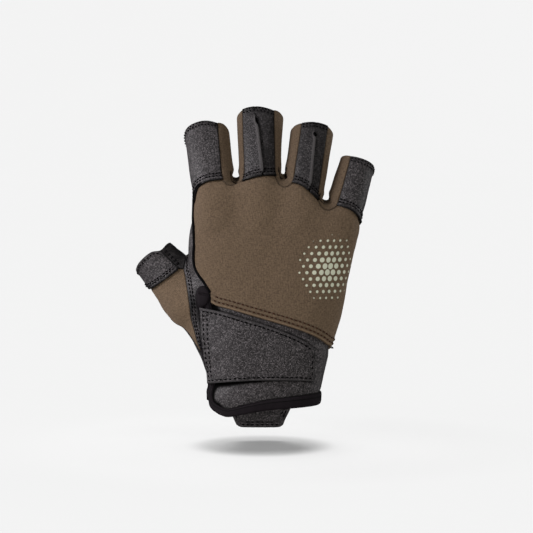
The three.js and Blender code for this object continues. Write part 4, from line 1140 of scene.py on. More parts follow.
def shell(grids, wall, lift, laps=(), bulge=0.4, gap=-0.14):
    """A wall with rounded edges. The outer face stands over the form by lift(points), the inner face lies one
    wall below it, and round the free edges half an ellipse closes the wall: its middle is the middle of the
    wall, its height is the wall and it stands out by bulge. Each lap (line, reach) pushes the edge that lies
    on a line out past it by its reach, a number or a function of the place; elsewhere the edge runs past
    the seam by as much as the gap is below nothing."""
    at, normals, triangles = merged(grids)
    count = len(at)
    start, end = free_edges(triangles, count)
    across = unit(np.cross(normals[start], at[end] - at[start]))
    inward = np.zeros_like(at)
    np.add.at(inward, start, across)
    np.add.at(inward, end, across)
    rim = np.unique(start)
    inward = unit(inward[rim])
    back = np.full(len(rim), bulge + gap)
    for line, reach in laps:
        out = reach(at[rim]) if callable(reach) else reach
        back = np.where(near(at[rim], line) < 0.4, bulge - out, back)
    edge = near(at, dense_pairs(at[start], at[end]))
    rise = lift(at)
    at = at.copy()
    at[rim] += inward * back[:, None]
    outer = at + normals * rise[:, None]
    inner = outer - normals * wall
    middle, half = (outer[rim] + inner[rim]) / 2, (outer[rim] - inner[rim]) / 2
    turn = np.pi * np.arange(1, RIM_RINGS) / RIM_RINGS
    rings = [middle + np.cos(t) * half - np.sin(t) * bulge * inward for t in turn]
    place = np.zeros(count, int)
    place[rim] = np.arange(len(rim))
    levels, level_ends = (
        [ids, *[2 * count + j * len(rim) + place[ids] for j in range(RIM_RINGS - 1)], count + ids]
        for ids in (start, end))
    sides = []
    for a, b, c, d in zip(levels, level_ends, levels[1:], level_ends[1:]):
        sides += [np.stack([b, a, c], -1), np.stack([b, c, d], -1)]
    faces = np.concatenate([triangles, triangles[:, ::-1] + count, *sides])
    inside = np.concatenate([np.zeros(count), np.ones(count), *[np.full(len(rim), t / np.pi) for t in turn]])
    depth = np.concatenate([edge, edge, *[np.zeros(len(rim))] * (RIM_RINGS - 1)])
    source = np.concatenate([np.arange(count), np.arange(count), *[rim] * (RIM_RINGS - 1)])
    a, b, c = (outer[triangles[:, k]] for k in range(3))
    area = np.linalg.norm(np.cross(b - a, c - a), axis=1).sum() / 2
    return {"points": np.concatenate([outer, inner, *rings]), "faces": faces, "form": at[source],
            "inside": inside, "edge": depth, "area": area}


def dense_pairs(start, end):
    """Points along many short edges, four to each."""
    return np.concatenate([start + (end - start) * t for t in (0, 0.25, 0.5, 0.75)])


def mesh_object(name, points, faces, attributes=None, uv=None):
    """A smooth-shaded object of numpy triangles or quads, in millimetres here and metres in the mesh, with
    attributes on its points and a UV map in metres, given for each point or for each corner."""
    mesh = bpy.data.meshes.new(name)
    mesh.vertices.add(len(points))
    mesh.vertices.foreach_set("co", (points * MM).astype(np.float32).ravel())
    mesh.loops.add(faces.size)
    mesh.loops.foreach_set("vertex_index", faces.astype(np.int32).ravel())
    mesh.polygons.add(len(faces))
    mesh.polygons.foreach_set("loop_start", np.arange(0, faces.size, faces.shape[1], dtype=np.int32))
    mesh.polygons.foreach_set("use_smooth", np.ones(len(faces), bool))
    for key, values in (attributes or {}).items():
        mesh.attributes.new(key, "FLOAT", "POINT").data.foreach_set("value", values.astype(np.float32))
    if uv is not None:
        layer = mesh.uv_layers.new(name="cloth")
        corners = uv if len(uv) == faces.size else uv[faces.ravel()]
        layer.data.foreach_set("uv", (corners * MM).astype(np.float32).ravel())
    mesh.update()
    mesh.validate()
    obj = bpy.data.objects.new(name, mesh)
    bpy.context.scene.collection.objects.link(obj)
    return obj


# Materials

class Socket:
    """A shader socket on which sums are written as Python: each operator and each plain word adds the Math
    node of its name."""

    def __init__(self, shader, link):
        self.shader, self.link = shader, link

    def maths(self, operation, *others, clamp=False):
        """A Math node fed with this socket and the others."""
        node = self.shader.tree.nodes.new("ShaderNodeMath")
        node.operation, node.use_clamp = operation, clamp
        for place, value in zip(node.inputs, (self, *others)):
            self.shader.feed(place, value)
        return Socket(self.shader, node.outputs[0])

    __add__ = __radd__ = functools.partialmethod(maths, "ADD")
    __mul__ = __rmul__ = functools.partialmethod(maths, "MULTIPLY")
    __sub__ = functools.partialmethod(maths, "SUBTRACT")
    __truediv__ = functools.partialmethod(maths, "DIVIDE")
    __pow__ = functools.partialmethod(maths, "POWER")
    sine = functools.partialmethod(maths, "SINE")
    size = functools.partialmethod(maths, "ABSOLUTE")
    fraction = functools.partialmethod(maths, "FRACT")
    most = functools.partialmethod(maths, "MAXIMUM")
    root = functools.partialmethod(maths, "SQRT")
    power_of_e = functools.partialmethod(maths, "EXPONENT")

    def __neg__(self):
        """Times minus one."""
        return self * -1.0

    def __rsub__(self, other):
        """A plain number less this socket."""
        return -self + other

    def held(self):
        """Clamped between nothing and one."""
        return self.maths("ADD", 0.0, clamp=True)

    def ridge(self, middle, width):
        """One where the value is middle, falling as a parabola to nothing at width from it."""
        place = (self - middle) / width
        return (1 - place * place).held()

    def rise(self, start, end):
        """Nothing at start, one at end, and a smooth step between them."""
        t = ((self - start) * (1 / (end - start))).held()
        return t * t * (3 - 2 * t)


class Shader:
    """A material under making. Every node but the Math nodes comes from node()."""

    def __init__(self, name):
        self.material = bpy.data.materials.new(name)
        self.material.use_nodes = True
        self.tree = self.material.node_tree
        self.tree.nodes.clear()

    def feed(self, place, value):
        """Links a socket to an input, or sets the input to a plain value."""
        if isinstance(value, Socket):
            self.tree.links.new(value.link, place)
        elif value is not None:
            place.default_value = value

    def node(self, kind, settings=None, output=0, **values):
        """A node of a kind: its settings first, then each socket, by name with spaces as underscores."""
        node = self.tree.nodes.new(f"ShaderNode{kind}")
        for key, value in (settings or {}).items():
            setattr(node, key, value)
        for key, value in values.items():
            name = key.replace("_", " ")
            places = [s for s in node.inputs if s.name == name and s.enabled]
            self.feed(places[0] if places else node.inputs[int(name[1:])], value)
        found = [s for s in node.outputs if s.enabled]
        if not found:
            return None
        return Socket(self, node.outputs[output] if isinstance(output, str) else found[output])

    def attribute(self, name):
        """The piece's own attribute of that name, as a number."""
        return self.node("Attribute", {"attribute_name": name}, output="Fac")

    def place(self):
        """Object coordinates in millimetres."""
        where = self.node("TexCoord", output="Object")
        return self.node("VectorMath", {"operation": "SCALE"}, Vector=where, Scale=1000.0)

    def cloth(self):
        """The piece's own UV map, in millimetres, as two numbers."""
        where = self.node("UVMap", {"uv_map": "cloth"})
        return [part * 1000.0 for part in self.parts(where)[:2]]

    def parts(self, vector):
        """The three parts of a vector."""
        split = self.node("SeparateXYZ", Vector=vector).link.node
        return [Socket(self, part) for part in split.outputs]

    def noise(self, vector, cell, detail=2.0, rough=0.5):
        """Cloudy noise whose lumps are about a cell wide."""
        return self.node("TexNoise", Vector=vector, Scale=1.0 / cell, Detail=detail, Roughness=rough)

    def mix(self, amount, first, second):
        """The first colour, which gives way to the second by the amount."""
        settings = {"data_type": "RGBA", "clamp_factor": True}
        return self.node("Mix", settings, Factor=amount, A=first, B=second)

    def layers(self, base, *covers):
        """A colour under others, each an amount and a colour, which cover it in turn."""
        for amount, colour in covers:
            base = self.mix(amount, base, colour)
        return base

    def surface(self, height=None, depth=0.0001, strength=1.0, dark=None, **values):
        """Ends the material in a Principled shader, bumped by height times depth metres. It gives way to a
        matt black one, painted shade, by the share that dark gives."""
        if height is not None:
            values["Normal"] = self.node("Bump", Strength=strength, Distance=depth, Height=height)
        shown = self.node("BsdfPrincipled", **values)
        if dark is not None:
            # Matt black for painted shade.
            black = self.node("BsdfPrincipled", Base_Color=rgba(SHADE_BLACK), Roughness=1.0, Specular_IOR_Level=0.0)
            shown = self.node("MixShader", Fac=dark, _1=shown, _2=black)
        self.node("OutputMaterial", Surface=shown)
        return self.material


def rgba(colour):
    """A colour with full alpha."""
    return (*colour[:3], 1.0)


def scaled(colour, factor):
    """A colour times a factor, each part one at most."""
    return rgba([min(1.0, c * factor) for c in colour])


def stitched_rows(shader):
    """The grooves of the rows of stitches: row is one on the first row from an edge and two on the second,
    and the groove is one on a row and falls to nothing beside it."""
    row = shader.attribute("row")
    return (row.ridge(1.0, 0.32) + row.ridge(2.0, 0.32)).held()


def slot_shade(shader, p):
    """Painted shade, one in the slot of each finger back: an ellipsoid that leans to the right downwards,
    where the squares of the three distances from its middle, each over its half size, add up to less than
    one."""
    x, y, z = shader.parts(p)
    hole = 0.0
    for name, slot in SLOTS.items():
        middle = [float(v) for v in slot_place(name)]
        down = z - middle[2]
        across, through_ = x - middle[0] + down * 0.22, y - middle[1]
        wide, tall = slot["half"]
        size = across * across / wide ** 2 + down * down / tall ** 2 + through_ * through_ / 16.0
        hole = (1 - size).rise(0.0, 0.35) + hole
    return hole


def leather(name, settings, grain, shine, tint=1.0):
    """Synthetic leather: a pebble grain of rounded cells with painted shade in the creases between them and
    painted highlights on some, a painted highlight along its edges, painted shade in its seams and stitch
    grooves, matt black painted shade where the shade attribute and each slot give it, and matt on the inside.
    grain is the depth of the grain and shine the least roughness."""
    s = Shader(name)
    p = s.place()
    warp = s.node("VectorMath", {"operation": "SCALE"}, Scale=0.4,
                  Vector=s.node("TexNoise", Vector=p, Scale=1.3, Detail=1.0, output="Color"))
    bent = s.node("VectorMath", {"operation": "ADD"}, _0=p, _1=warp)
    cell = settings.grain / MM
    pebble = s.node("TexVoronoi", {"feature": "SMOOTH_F1"}, Vector=bent, Scale=1 / cell, Smoothness=0.35)
    chance = s.node("TexVoronoi", {"feature": "F1"}, Vector=bent, Scale=1 / cell, output="Color")
    crease = s.node("TexVoronoi", {"feature": "DISTANCE_TO_EDGE"}, Vector=bent, Scale=1 / cell)
    fine = s.noise(p, cell * 0.35, 3.0)
    broad = s.noise(p, 14.0, 3.0)
    tone = s.parts(chance)[0]
    # Painted highlights on the tops of some pebbles.
    speck = (tone * tone * 0.6 + fine.rise(0.46, 0.64) * 0.6) * (1.1 - pebble * 1.2).held() * grain
    # Painted shade: the shade attribute, and the painted black in each slot.
    shade = s.attribute("shade").most(slot_shade(s, p))
    edge, inside, groove = s.attribute("edge"), s.attribute("inside").rise(0.55, 0.75), stitched_rows(s)
    base = s.layers(
        s.mix(broad, scaled(settings.dark, tint), scaled(settings.light, tint)),
        # Painted shade in the creases between the pebbles.
        ((1 - crease.rise(0.0, 0.16)) * grain * 0.7, scaled(settings.dark, 0.4 * tint)),
        (speck, scaled(settings.speck, tint)),
        # Painted shade in the stitch grooves.
        (groove * 0.35, scaled(settings.dark, 0.35)),
        # Painted shade along the seams and free edges.
        ((1 - edge.rise(0.1, 0.8)) * 0.85, scaled(settings.dark, 0.15)),
        # Painted highlight along the edges.
        (s.attribute("worn") * 0.8, rgba(settings.worn)),
        (inside, rgba(LINING)))
    height = ((1 - pebble) * grain + fine * 0.25 * grain) * (1 - inside) * (1 - shade) - groove * 1.6
    rough = (fine * 0.2 + shine - speck * 0.1).held()
    return s.surface(height=height, depth=0.00016, strength=0.8, dark=shade, Base_Color=base,
                     Roughness=s.node("Mix", {"data_type": "FLOAT"}, Factor=inside, A=rough, B=0.95),
                     Specular_IOR_Level=0.28)


def knit(shader, u, v, rib):
    """Height of a fine jersey on cloth coordinates u across and v along: ribs as a rectified sine of u, and
    on each rib a row of leaning loops, the sine of v plus the distance from the rib's middle."""
    wale = (u * (np.pi / rib)).sine().size()
    lean = ((u * (1 / rib)).fraction() - 0.5).size()
    loop = ((v * (2 * np.pi / (rib * 0.8))) + lean * 5.0).sine() * 0.5 + 0.5
    return wale * 0.7 + loop * 0.3 * wale


def jersey(name, settings, tint=1.0, print_dots=False):
    """Brown stretch jersey, knitted in fine ribs, with slubs along and across them, a painted highlight along
    the folded edge of its hem, painted shade in its seams and stitch grooves, and matt black painted shade
    where the shade attribute gives it."""
    s = Shader(name)
    p = s.place()
    u, v = s.cloth()
    height = knit(s, u, v, settings.rib / MM)
    broad, fine = s.noise(p, 22.0, 4.0, 0.6), s.noise(p, 0.9, 2.0)
    edge, inside, groove = s.attribute("edge"), s.attribute("inside").rise(0.55, 0.75), stitched_rows(s)
    slubs = [s.noise(s.node("CombineXYZ", X=u * across, Y=v * along), 1.0, 1.0) * 0.5
             for across, along in ((0.5, 1.9), (1.9, 0.6))]
    slub = slubs[0] + slubs[1]
    base = s.layers(
        s.mix(broad, scaled(settings.colour, 0.86 * tint), scaled(settings.colour, 1.16 * tint)),
        ((1 - height).held() * 0.45, scaled(settings.colour, 0.5 * tint)),
        (fine.rise(0.45, 0.75) * 0.3, scaled(settings.colour, 1.6 * tint)),
        (slub.rise(0.45, 0.6) * 0.36, scaled(settings.colour, 1.7 * tint)),
        ((1 - slub.rise(0.38, 0.5)) * 0.4, scaled(settings.colour, 0.45 * tint)),
        # Painted highlight along the folded lower edge of the hem.
        (s.attribute("row").ridge(0.3, 0.3) * 0.6, scaled(settings.colour, 2.0)),
        # Painted shade in the stitch grooves.
        (groove * 0.5, scaled(settings.colour, 0.35)),
        # Painted shade along the seams and free edges.
        ((1 - edge.rise(0.0, 0.7)) * 0.6, scaled(settings.colour, 0.25)))
    rough = 0.86
    if print_dots:
        ink = printed_dots(s, u, v, settings)
        base = s.mix(ink, base, s.mix(height, scaled(settings.ink, 0.8), rgba(settings.ink)))
        height = height * (1 - ink * 0.7) + ink * 1.2
        rough = 0.86 - ink * 0.28
    base = s.mix(inside, base, scaled(settings.colour, 0.55))
    return s.surface(height=height - groove * 1.5, depth=0.00014, strength=0.7, dark=s.attribute("shade"),
                     Base_Color=base, Roughness=rough, Sheen_Weight=0.35, Sheen_Roughness=0.45,
                     Sheen_Tint=scaled(settings.colour, 3.0), Specular_IOR_Level=0.2)


def printed_dots(shader, u, v, settings):
    """A field of round dots set in offset rows: a dot fills the middle of each cell where the distance from
    there is less than its radius, which shrinks with the distance from the middle of the field."""
    pitch = settings.dot_spacing / MM
    row = (v * (1 / (pitch * 0.866))).maths("FLOOR")
    x = (u * (1 / pitch) + row * 0.5).fraction() - 0.5
    y = (v * (1 / (pitch * 0.866))).fraction() - 0.5
    far = (x * x + y * y * 0.75).root()
    a, b = (u - PRINT_MIDDLE[0]) / PRINT_HALF[0], (v - PRINT_MIDDLE[1]) / PRINT_HALF[1]
    out = (a * a + b * b).root()
    radius = (1 - out * 0.72) * 0.46
    soft = 0.05
    return (1 - (far - radius).rise(-soft, soft)) * (1 - out.rise(1.0, 1.08))


def tape(name, settings):
    """Folded binding tape: close dark weave, matt, with the groove of its seam along the leather's side,
    which has painted shade.
    """
    s = Shader(name)
    p = s.place()
    across, along = s.cloth()
    weave = (along * 9.0).sine() * 0.5 + (across * 9.0).sine() * 0.5
    broad, fine = s.noise(p, 9.0, 3.0), s.noise(p, 0.7, 3.0)
    groove = across.ridge(1.25, 0.4)
    base = s.layers(s.mix(broad, scaled(settings.tape, 0.8), scaled(settings.tape, 1.25)),
                    (fine.rise(0.55, 0.8) * 0.4, scaled(settings.tape, 2.0)), (groove * 0.8, rgba(SHADE_BLACK)))
    return s.surface(height=weave * 0.2 + fine * 0.8 - groove * 3.0, depth=0.00009, strength=0.6,
                     Base_Color=base, Roughness=0.75 + fine * 0.2, Specular_IOR_Level=0.1)


def thread(name, settings, colour):
    """Twisted sewing thread in one of the settings' colours: fine slanting plies in Object coordinates."""
    colour = getattr(settings, colour)
    s = Shader(name)
    p = s.place()
    ply = s.node("TexWave", {"bands_direction": "DIAGONAL"}, Vector=p, Scale=2.2, Distortion=1.0)
    base = s.mix(ply, scaled(colour, 0.7), scaled(colour, 1.3))
    return s.surface(height=ply, depth=0.00005, strength=0.5, Base_Color=base, Roughness=0.9,
                     Specular_IOR_Level=0.05)


# Pieces

# The cloth or leather that each panel is cut from, width and length in millimetres.
CUT = {
    "palm_leather": (160, 180), "back_panel": (125, 112), "fourchette": (26, 98), "left_half": (22, 42),
    "right_half": (14, 40), "thumb_back": (34, 62), "thumb_band": (44, 22), "thumb_palm": (66, 78),
    "cuff_back": (112, 66), "wrist_strap": (76, 52), "pull_tab": (36, 30),
}


def ripples(points, size=0.16):
    """Slow unevenness of sewn leather: a product and a sum of sines of the place, a few centimetres long."""
    x, y, z = points.T
    return size * (np.sin(x * 0.31 + z * 0.17) * np.sin(z * 0.23 - y * 0.29 + 1.3)
                   + 0.6 * np.sin(x * 0.53 - z * 0.41 + y * 0.37 + 0.7))


@functools.cache
def rim_line(name, inner=False):
    """The open end of a finger: the leather's part of it, on its inner side for the two middle fingers."""
    a = SEAM_ANGLES[name]
    if name == "index":
        return rim_points(name, a["right"], a["palm_right"] - 360, 110)
    if name == "little":
        return rim_points(name, a["palm_left"], a["left"], 100)
    if inner:
        return rim_points(name, a["palm_left"], a["palm_right"], 40)
    return rim_points(name, a["left"], a["right"], 50)


@functools.cache
def hem_lines():
    """All the lines where the leather of a finger laps over the jersey back."""
    return dense(*[part for name in FINGERS for part in hem(name)], little_wrap())


@functools.cache
def rim_lines():
    """The open ends of all the fingers, all the way round."""
    return dense(rim_line("index"), rim_line("little"), rim_line("middle"), rim_line("ring"),
                 rim_line("middle", True), rim_line("ring", True))


def swell(p, line, height, width):
    """A bell of the distance from a line, times a height."""
    return height * bell(near(p, line), width)


def lift_palm(p):
    """The leather swells over the jersey along the finger hems, is doubled over at the rims and dives under
    the binding."""
    return (swell(p, hem_lines(), *HEM_SWELL) + 0.32 * within(near(p, rim_lines()), 4.4, 0.5)
            - swell(p, binding_edge(), *BINDING_DIVE) + ripples(p, 0.12))


def lift_back(p):
    """The jersey dives under the finger hems, and is folded double along its lower hem, with a crease past
    the fold, both fainter at the little finger side."""
    hem_distance = near(p, dense(back_bottom()))
    fold = 0.85 * within(hem_distance, 6.2, 0.45) - 0.25 * bell(hem_distance - 7.0, 0.8)
    fainter = 0.2 + 0.8 * within(p[:, 0], 33, 3)
    return fold * fainter - swell(p, hem_lines(), *BACK_DIVE) + ripples(p, 0.1)


def ridge_share(name):
    """How much of the ridge stands at a place: one along the finger, falling as a smooth step to nothing at
    the rim and at the hem."""
    rims, hems = dense(rim_line(name)), dense(*hem(name))

    def share(p):
        """The smooth step of the lesser distance."""
        return smooth_step(np.minimum(near(p, rims) - 4.6, near(p, hems)) / 4)
    return share


def lift_half(name, half):
    """The left half rises by the cube of its nearness to the ridge, and the right half sinks under it by the
    square. Both are doubled over at the rim and swell over the jersey."""
    line, share = dense(back_seam(name, "ridge")), ridge_share(name)
    rims, hems = dense(rim_line(name)), dense(*hem(name))

    def lift(p):
        """Height of this half over the form."""
        d, full = near(p, line), share(p)
        folds = 0.3 * within(near(p, rims), 3.8, 0.5) + swell(p, hems, *HEM_SWELL) + ripples(p, 0.08)
        if half == "left":
            return folds + RIDGE_RISE[name] * full * np.clip(1 - d / 8, 0, 1) ** 3
        return folds * (1 - full * np.clip(1 - d / 3, 0, 1)) - 1.3 * full * np.clip(1 - d / 6, 0, 1) ** 2
    return lift


@functools.cache
def slot_place(name):
    """The middle of the slot on the ridge."""
    at = back_seam(name, "ridge")
    return at[np.argmin(np.abs(at[:, 2] - SLOTS[name]["z"]))]


def lift_thumb_back(p):
    """The jersey dives under the foot of the band."""
    return ripples(p, 0.15) - swell(p, dense(band_foot()), *THUMB_DIVE)


def lift_band(p):
    """The band lies on the thumb's leather and swells over its back."""
    return 0.55 + swell(p, dense(band_foot()), *BAND_SWELL) + 0.15 * ripples(p)


def lift_thumb_palm(p):
    """The leather is doubled over at the rim."""
    rims = dense(thumb_rim(THUMB_PALM_START, BAND_END, 60))
    return 0.3 * within(near(p, rims), 4.0, 0.5) + ripples(p, 0.15)


def lift_cuff(p):
    """The cuff dives under the jersey's hem and the binding, and sags below the strap on the slit's side."""
    below = dense(strap_lines()[0])
    return (ripples(p, 0.15) - swell(p, dense(back_bottom()), *CUFF_DIVE)
            - swell(p, binding_edge(), *BINDING_DIVE) - swell(p, below, *CUFF_SAG) * within(p[:, 0], -8, 8))


def lift_strap(p):
    """The strap lies on the cuff."""
    return LAYER_GAP + STRAP_WALL + ripples(p, 0.12)


def lift_tab(p):
    """The tab lies on the binding."""
    return LAYER_GAP + BINDING_PROUD + LEATHER_WALL + ripples(p, 0.1)


def rows_near(points, lines, first, second=None):
    """The row number on the surface: one at the first distance from the lines and two at the second, and past
    both it stays where no row is."""
    spread = (second or first + 1.6) - first
    number = 1 + (near(points, dense(*lines)) - first) / spread
    return np.clip(number, -1, 2.6 if second else 1.5)


def no_rows(points):
    """A number far past the last row."""
    return np.full(len(points), 9.0)


def declared(obj, material, slot=None, node=None):
    """Gives a piece its finish, hangs it on the glove's root body and hides the model's part for the node
    that it stands for. slot is not used."""
    obj.data.materials.append(finish(material))
    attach(obj, "root")
    if node:
        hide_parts(node)
    return obj


def panel(name, grids, wall, lift, material, slot, cut, rows=no_rows, uv=None, marks=None, **edges):
    """Makes one sewn panel, gives it its finish, hangs it on the glove and hides the part that it stands for.
    marks are more attributes, by name, as functions of the place."""
    made = shell(grids, wall, lift, **edges)
    attributes = {"edge": made["edge"], "inside": made["inside"], "row": rows(made["form"])}
    attributes.update({key: mark(made["form"]) for key, mark in (marks or {}).items()})
    obj = mesh_object(f"sewn_{name}", made["points"], made["faces"], attributes, uv and uv(made["form"]))
    declared(obj, material, slot, name)
    size = [side * MM for side in CUT[cut]]


# Each material: how it is made, the settings that it reads, and what sets it apart. A tint below one gives
# a darker copy of the same leather and jersey as painted shade, for the finger backs, the thumb's inner side
# and the strips; the tint above one gives the thumb's jersey painted light.
FINISHES = {
    "pebbled_leather": (leather, "glove_leather", dict(grain=1.0, shine=0.50)),
    "finger_leather": (leather, "glove_leather", dict(grain=1.0, shine=0.50, tint=0.62)),
    "shaded_leather": (leather, "glove_leather", dict(grain=0.6, shine=0.50, tint=0.8)),
    "plain_leather": (leather, "glove_leather", dict(grain=0.5, shine=0.46, tint=0.75)),
    "printed_jersey": (jersey, "glove_jersey", dict(print_dots=True)),
    "brown_jersey": (jersey, "glove_jersey", dict(tint=1.1)),
    "strip_jersey": (jersey, "glove_jersey", dict(tint=0.86)),
    "binding_tape": (tape, "glove_leather", {}),
    "black_thread": (thread, "glove_stitches", dict(colour="dark")),
    "hem_thread": (thread, "glove_stitches", dict(colour="brown")),
}


@functools.cache
def finish(name):
    """A material, made once from its settings in the sidebar."""
    maker, group, values = FINISHES[name]
    return maker(name, getattr(bpy.context.scene, group), **values)


def stitches(line, inset, towards, lift, start=0.0, end=0.0, facing=1, close=1.0):
    """Places of the stitches of one row: the line moved sideways on the form by the inset, towards a point,
    with a stitch in the middle of each pitch, and none for the given lengths at its start and its end. close
    is the share of the usual pitch. Each is a centre, a way along, which is scaled to its length, and a way
    out."""
    settings = bpy.context.scene.glove_stitches
    fine = resample(line, max(4, int(measure(line)[-1] / 0.8)))
    along = unit(np.gradient(fine, axis=0))
    side = unit(np.cross(normal_at(fine), along))
    side *= np.sign(dot(side, np.asarray(towards) - fine))[:, None]
    row = settle(fine + side * inset)
    length = measure(row)
    free = length[-1] - start - end
    count = max(2, int(free / (settings.pitch / MM * close)))
    place = start + (np.arange(count) + 0.5) / count * free
    at = np.stack([np.interp(place, length, row[:, k]) for k in range(3)], -1)
    way = unit(np.stack([np.interp(place, length, np.gradient(row[:, k])) for k in range(3)], -1))
    out = normal_at(at)
    return at + out * lift(at)[:, None], way * close, facing * out


def capped(rings, start, end):
    """Points and triangles of a tube through rings of points, which run round the way from its start to its
    end, with a point at each end that closes it."""
    count, sides = rings.shape[:2]
    k = np.arange(sides)
    n = (k + 1) % sides
    a = 1 + sides * np.arange(count - 1)[:, None]
    last = 1 + sides * count
    faces = [np.stack([0 * k, 1 + n, 1 + k], -1),
             np.stack(np.broadcast_arrays(a + k, a + sides + n, a + sides + k), -1).reshape(-1, 3),
             np.stack(np.broadcast_arrays(a + k, a + n, a + sides + n), -1).reshape(-1, 3),
             np.stack([0 * k + last, last - sides + k, last - sides + n], -1)]
    return np.concatenate([start[None], rings.reshape(-1, 3), end[None]]), np.concatenate(faces)


def cord(name, line, radius, lift, sides=10):
    """A thin round cord along a line on the form: rings across it, whose radius is the root of a sine of the
    length near both ends, so that it runs out in the seam."""
    out, length = normal_at(line), measure(line)
    along = unit(np.gradient(line, axis=0))
    across = unit(np.cross(out, along))
    past = np.clip(np.minimum(length, length[-1] - length) / (4 * radius), 0, 1)
    size = radius * np.sin(np.pi / 2 * past) ** 0.5
    turn = 2 * np.pi * np.arange(sides) / sides
    rings = (line[:, None] + out[:, None] * lift + size[:, None, None] * (
        np.cos(turn)[None, :, None] * across[:, None] + np.sin(turn)[None, :, None] * out[:, None]))
    points, faces = capped(rings[1:-1], line[0] + out[0] * lift, line[-1] + out[-1] * lift)
    declared(mesh_object(name, points, faces, uv=np.zeros((len(points), 2))), "black_thread", "binding")


def sewn(name, rows, material, sides=6):
    """One mesh of all the stitches of some rows. A stitch is a thick thread between two poles: rings round
    its length, whose radius follows the ends of an ellipse, and whose middle arches out of the leather."""
    settings = bpy.context.scene.glove_stitches
    length, radius = settings.length / MM, settings.thickness / MM / 2
    at, way, out = (np.concatenate(part) for part in zip(*rows))
    across = unit(np.cross(out, way))
    s = np.array([-0.5, -0.36, 0.0, 0.36, 0.5]) * length
    size = np.array([0.0, 0.8, 1.0, 0.8, 0.0]) * radius
    arch = radius * (0.75 - 3.2 * (s / length) ** 2)
    turn = 2 * np.pi * np.arange(sides) / sides
    inner, thick = slice(1, -1), size[1:-1, None]
    rings = stack(s[inner, None], thick * np.cos(turn), arch[inner, None] + thick * np.sin(turn))
    template, faces = capped(rings, np.array([s[0], 0, arch[0]]), np.array([s[-1], 0, arch[-1]]))
    points = at[:, None] + sum(template[None, :, k, None] * axis[:, None] for k, axis in
                               enumerate((way, across, out)))
    offsets = np.arange(len(at))[:, None, None] * len(template)
    declared(mesh_object(name, points.reshape(-1, 3), (faces[None] + offsets).reshape(-1, 3)), material)


def ring_faces(stations, sides, closed=True):
    """Quads between neighbouring rings of points, which close round the ring and, if closed, along it."""
    i = np.arange(stations if closed else stations - 1)[:, None]
    j = np.arange(sides)[None]
    k, m = (i + 1) % stations, (j + 1) % sides
    return np.stack(np.broadcast_arrays(i * sides + j, i * sides + m, k * sides + m, k * sides + j),
                    -1).reshape(-1, 4)


# Operators

class GloveOperator:
    """What all the operators share."""
    bl_options = {"REGISTER", "UNDO"}


class GLOVE_OT_palm(GloveOperator, bpy.types.Operator):
    """Palm leather with the sheaths of the first and the last finger"""
    bl_idname = "glove.palm"
    bl_label = "Palm leather"

    def execute(self, context):
        rims = [rim_line("index"), rim_line("little"), rim_line("middle", True), rim_line("ring", True)]
        lines = [*rims, *hem("index"), *hem("little"), joined(*thumb_seam())]
        hems = dense(*hem("index"), *hem("little"), little_wrap())
        panel("palm_leather", palm_leather_patches(), LEATHER_WALL, lift_palm, "pebbled_leather", "leather",
              "palm_leather", rows=lambda p: rows_near(p, lines, *SEAM_ROWS),
              laps=[(hems, HEM_LAP), (binding_edge(), BINDING_TUCK)])
        return {"FINISHED"}


class GLOVE_OT_back(GloveOperator, bpy.types.Operator):
    """Jersey back of the hand, with its folded hem and the printed dots"""
    bl_idname = "glove.back"
    bl_label = "Jersey back"

    def execute(self, context):
        panel("back_panel", back_panel_patches(), JERSEY_WALL, lift_back, "printed_jersey", "jersey",
              "back_panel", rows=lambda p: rows_near(p, [back_bottom()], *HEM_ROWS), uv=back_chart.locate,
              laps=[(dense(back_bottom()), 0.1)])
        return {"FINISHED"}


class GLOVE_OT_fourchettes(GloveOperator, bpy.types.Operator):
    """Jersey strips that run up one finger, round the web and up the next"""
    bl_idname = "glove.fourchettes"
    bl_label = "Strips between the fingers"

    def execute(self, context):
        for first, second in BETWEEN:
            middle = web(first, second)[STEPS["web"] // 2][0]
            folds = dense(*[on_back(fold) for fold in WEB_FOLDS[f"{first}_{second}"]])
            swells = WEB_SWELLS[f"{first}_{second}"]

            def lift(p):
                """The strip swells and sags as bells of the distance from places near the web, seen from the
                back: it swells where it faces sideways and sags where it faces up. Its folds are creases."""
                up = np.clip(normal_at(p)[:, 2], 0, 1) ** 1.5
                full = sum(high * bell(np.hypot(p[:, 0] - x, p[:, 2] - z), wide)
                           * (up if high < 0 else 1 - up) for x, z, high, wide in swells)
                return ripples(p, 0.12) + full - swell(p, folds, *WEB_CREASE)

            panel(f"fourchette_{first}_{second}", fourchette_patches(first, second), JERSEY_WALL, lift,
                  "strip_jersey", "jersey", "fourchette", bulge=0.6,
                  marks={"shade": lambda p: within(near(p, folds), 0.9, 0.25)},
                  uv=lambda p: np.stack([p[:, 1] - np.abs(p[:, 0] - middle), p[:, 2]], -1))
        return {"FINISHED"}


class GLOVE_OT_finger_backs(GloveOperator, bpy.types.Operator):
    """Leather on the backs of the two middle fingers, in halves that lap along a ridge"""
    bl_idname = "glove.finger_backs"
    bl_label = "Backs of the middle fingers"

    def execute(self, context):
        for name in SLOTS:
            share, lines = ridge_share(name), [rim_line(name), *hem(name)]
            folded = dense(ridge(name, "left")[2:-2])
            # Painted highlight along the rolled edge of the left half, and painted shade over the right half
            # near the ridge.
            marks = {"left": {"worn": lambda p: 0.8 * within(near(p, folded), 1.0, 0.2) * share(p)},
                     "right": {"shade": lambda p: 0.2 * share(p)}}
            for half, material, slot, reach in (("left", "finger_leather", "leather", 0.7),
                                                ("right", "shaded_leather", "smooth_leather", 0.4)):
                panel(f"{name}_panel_{half}", half_panel_patches(name, half), LEATHER_WALL,
                      lift_half(name, half), material, slot, f"{half}_half",
                      rows=lambda p: rows_near(p, lines, *SEAM_ROWS), marks=marks[half],
                      laps=[(dense(*hem(name)), HEM_LAP),
                            (dense(ridge(name, half)), lambda p: reach * share(p))])
        return {"FINISHED"}


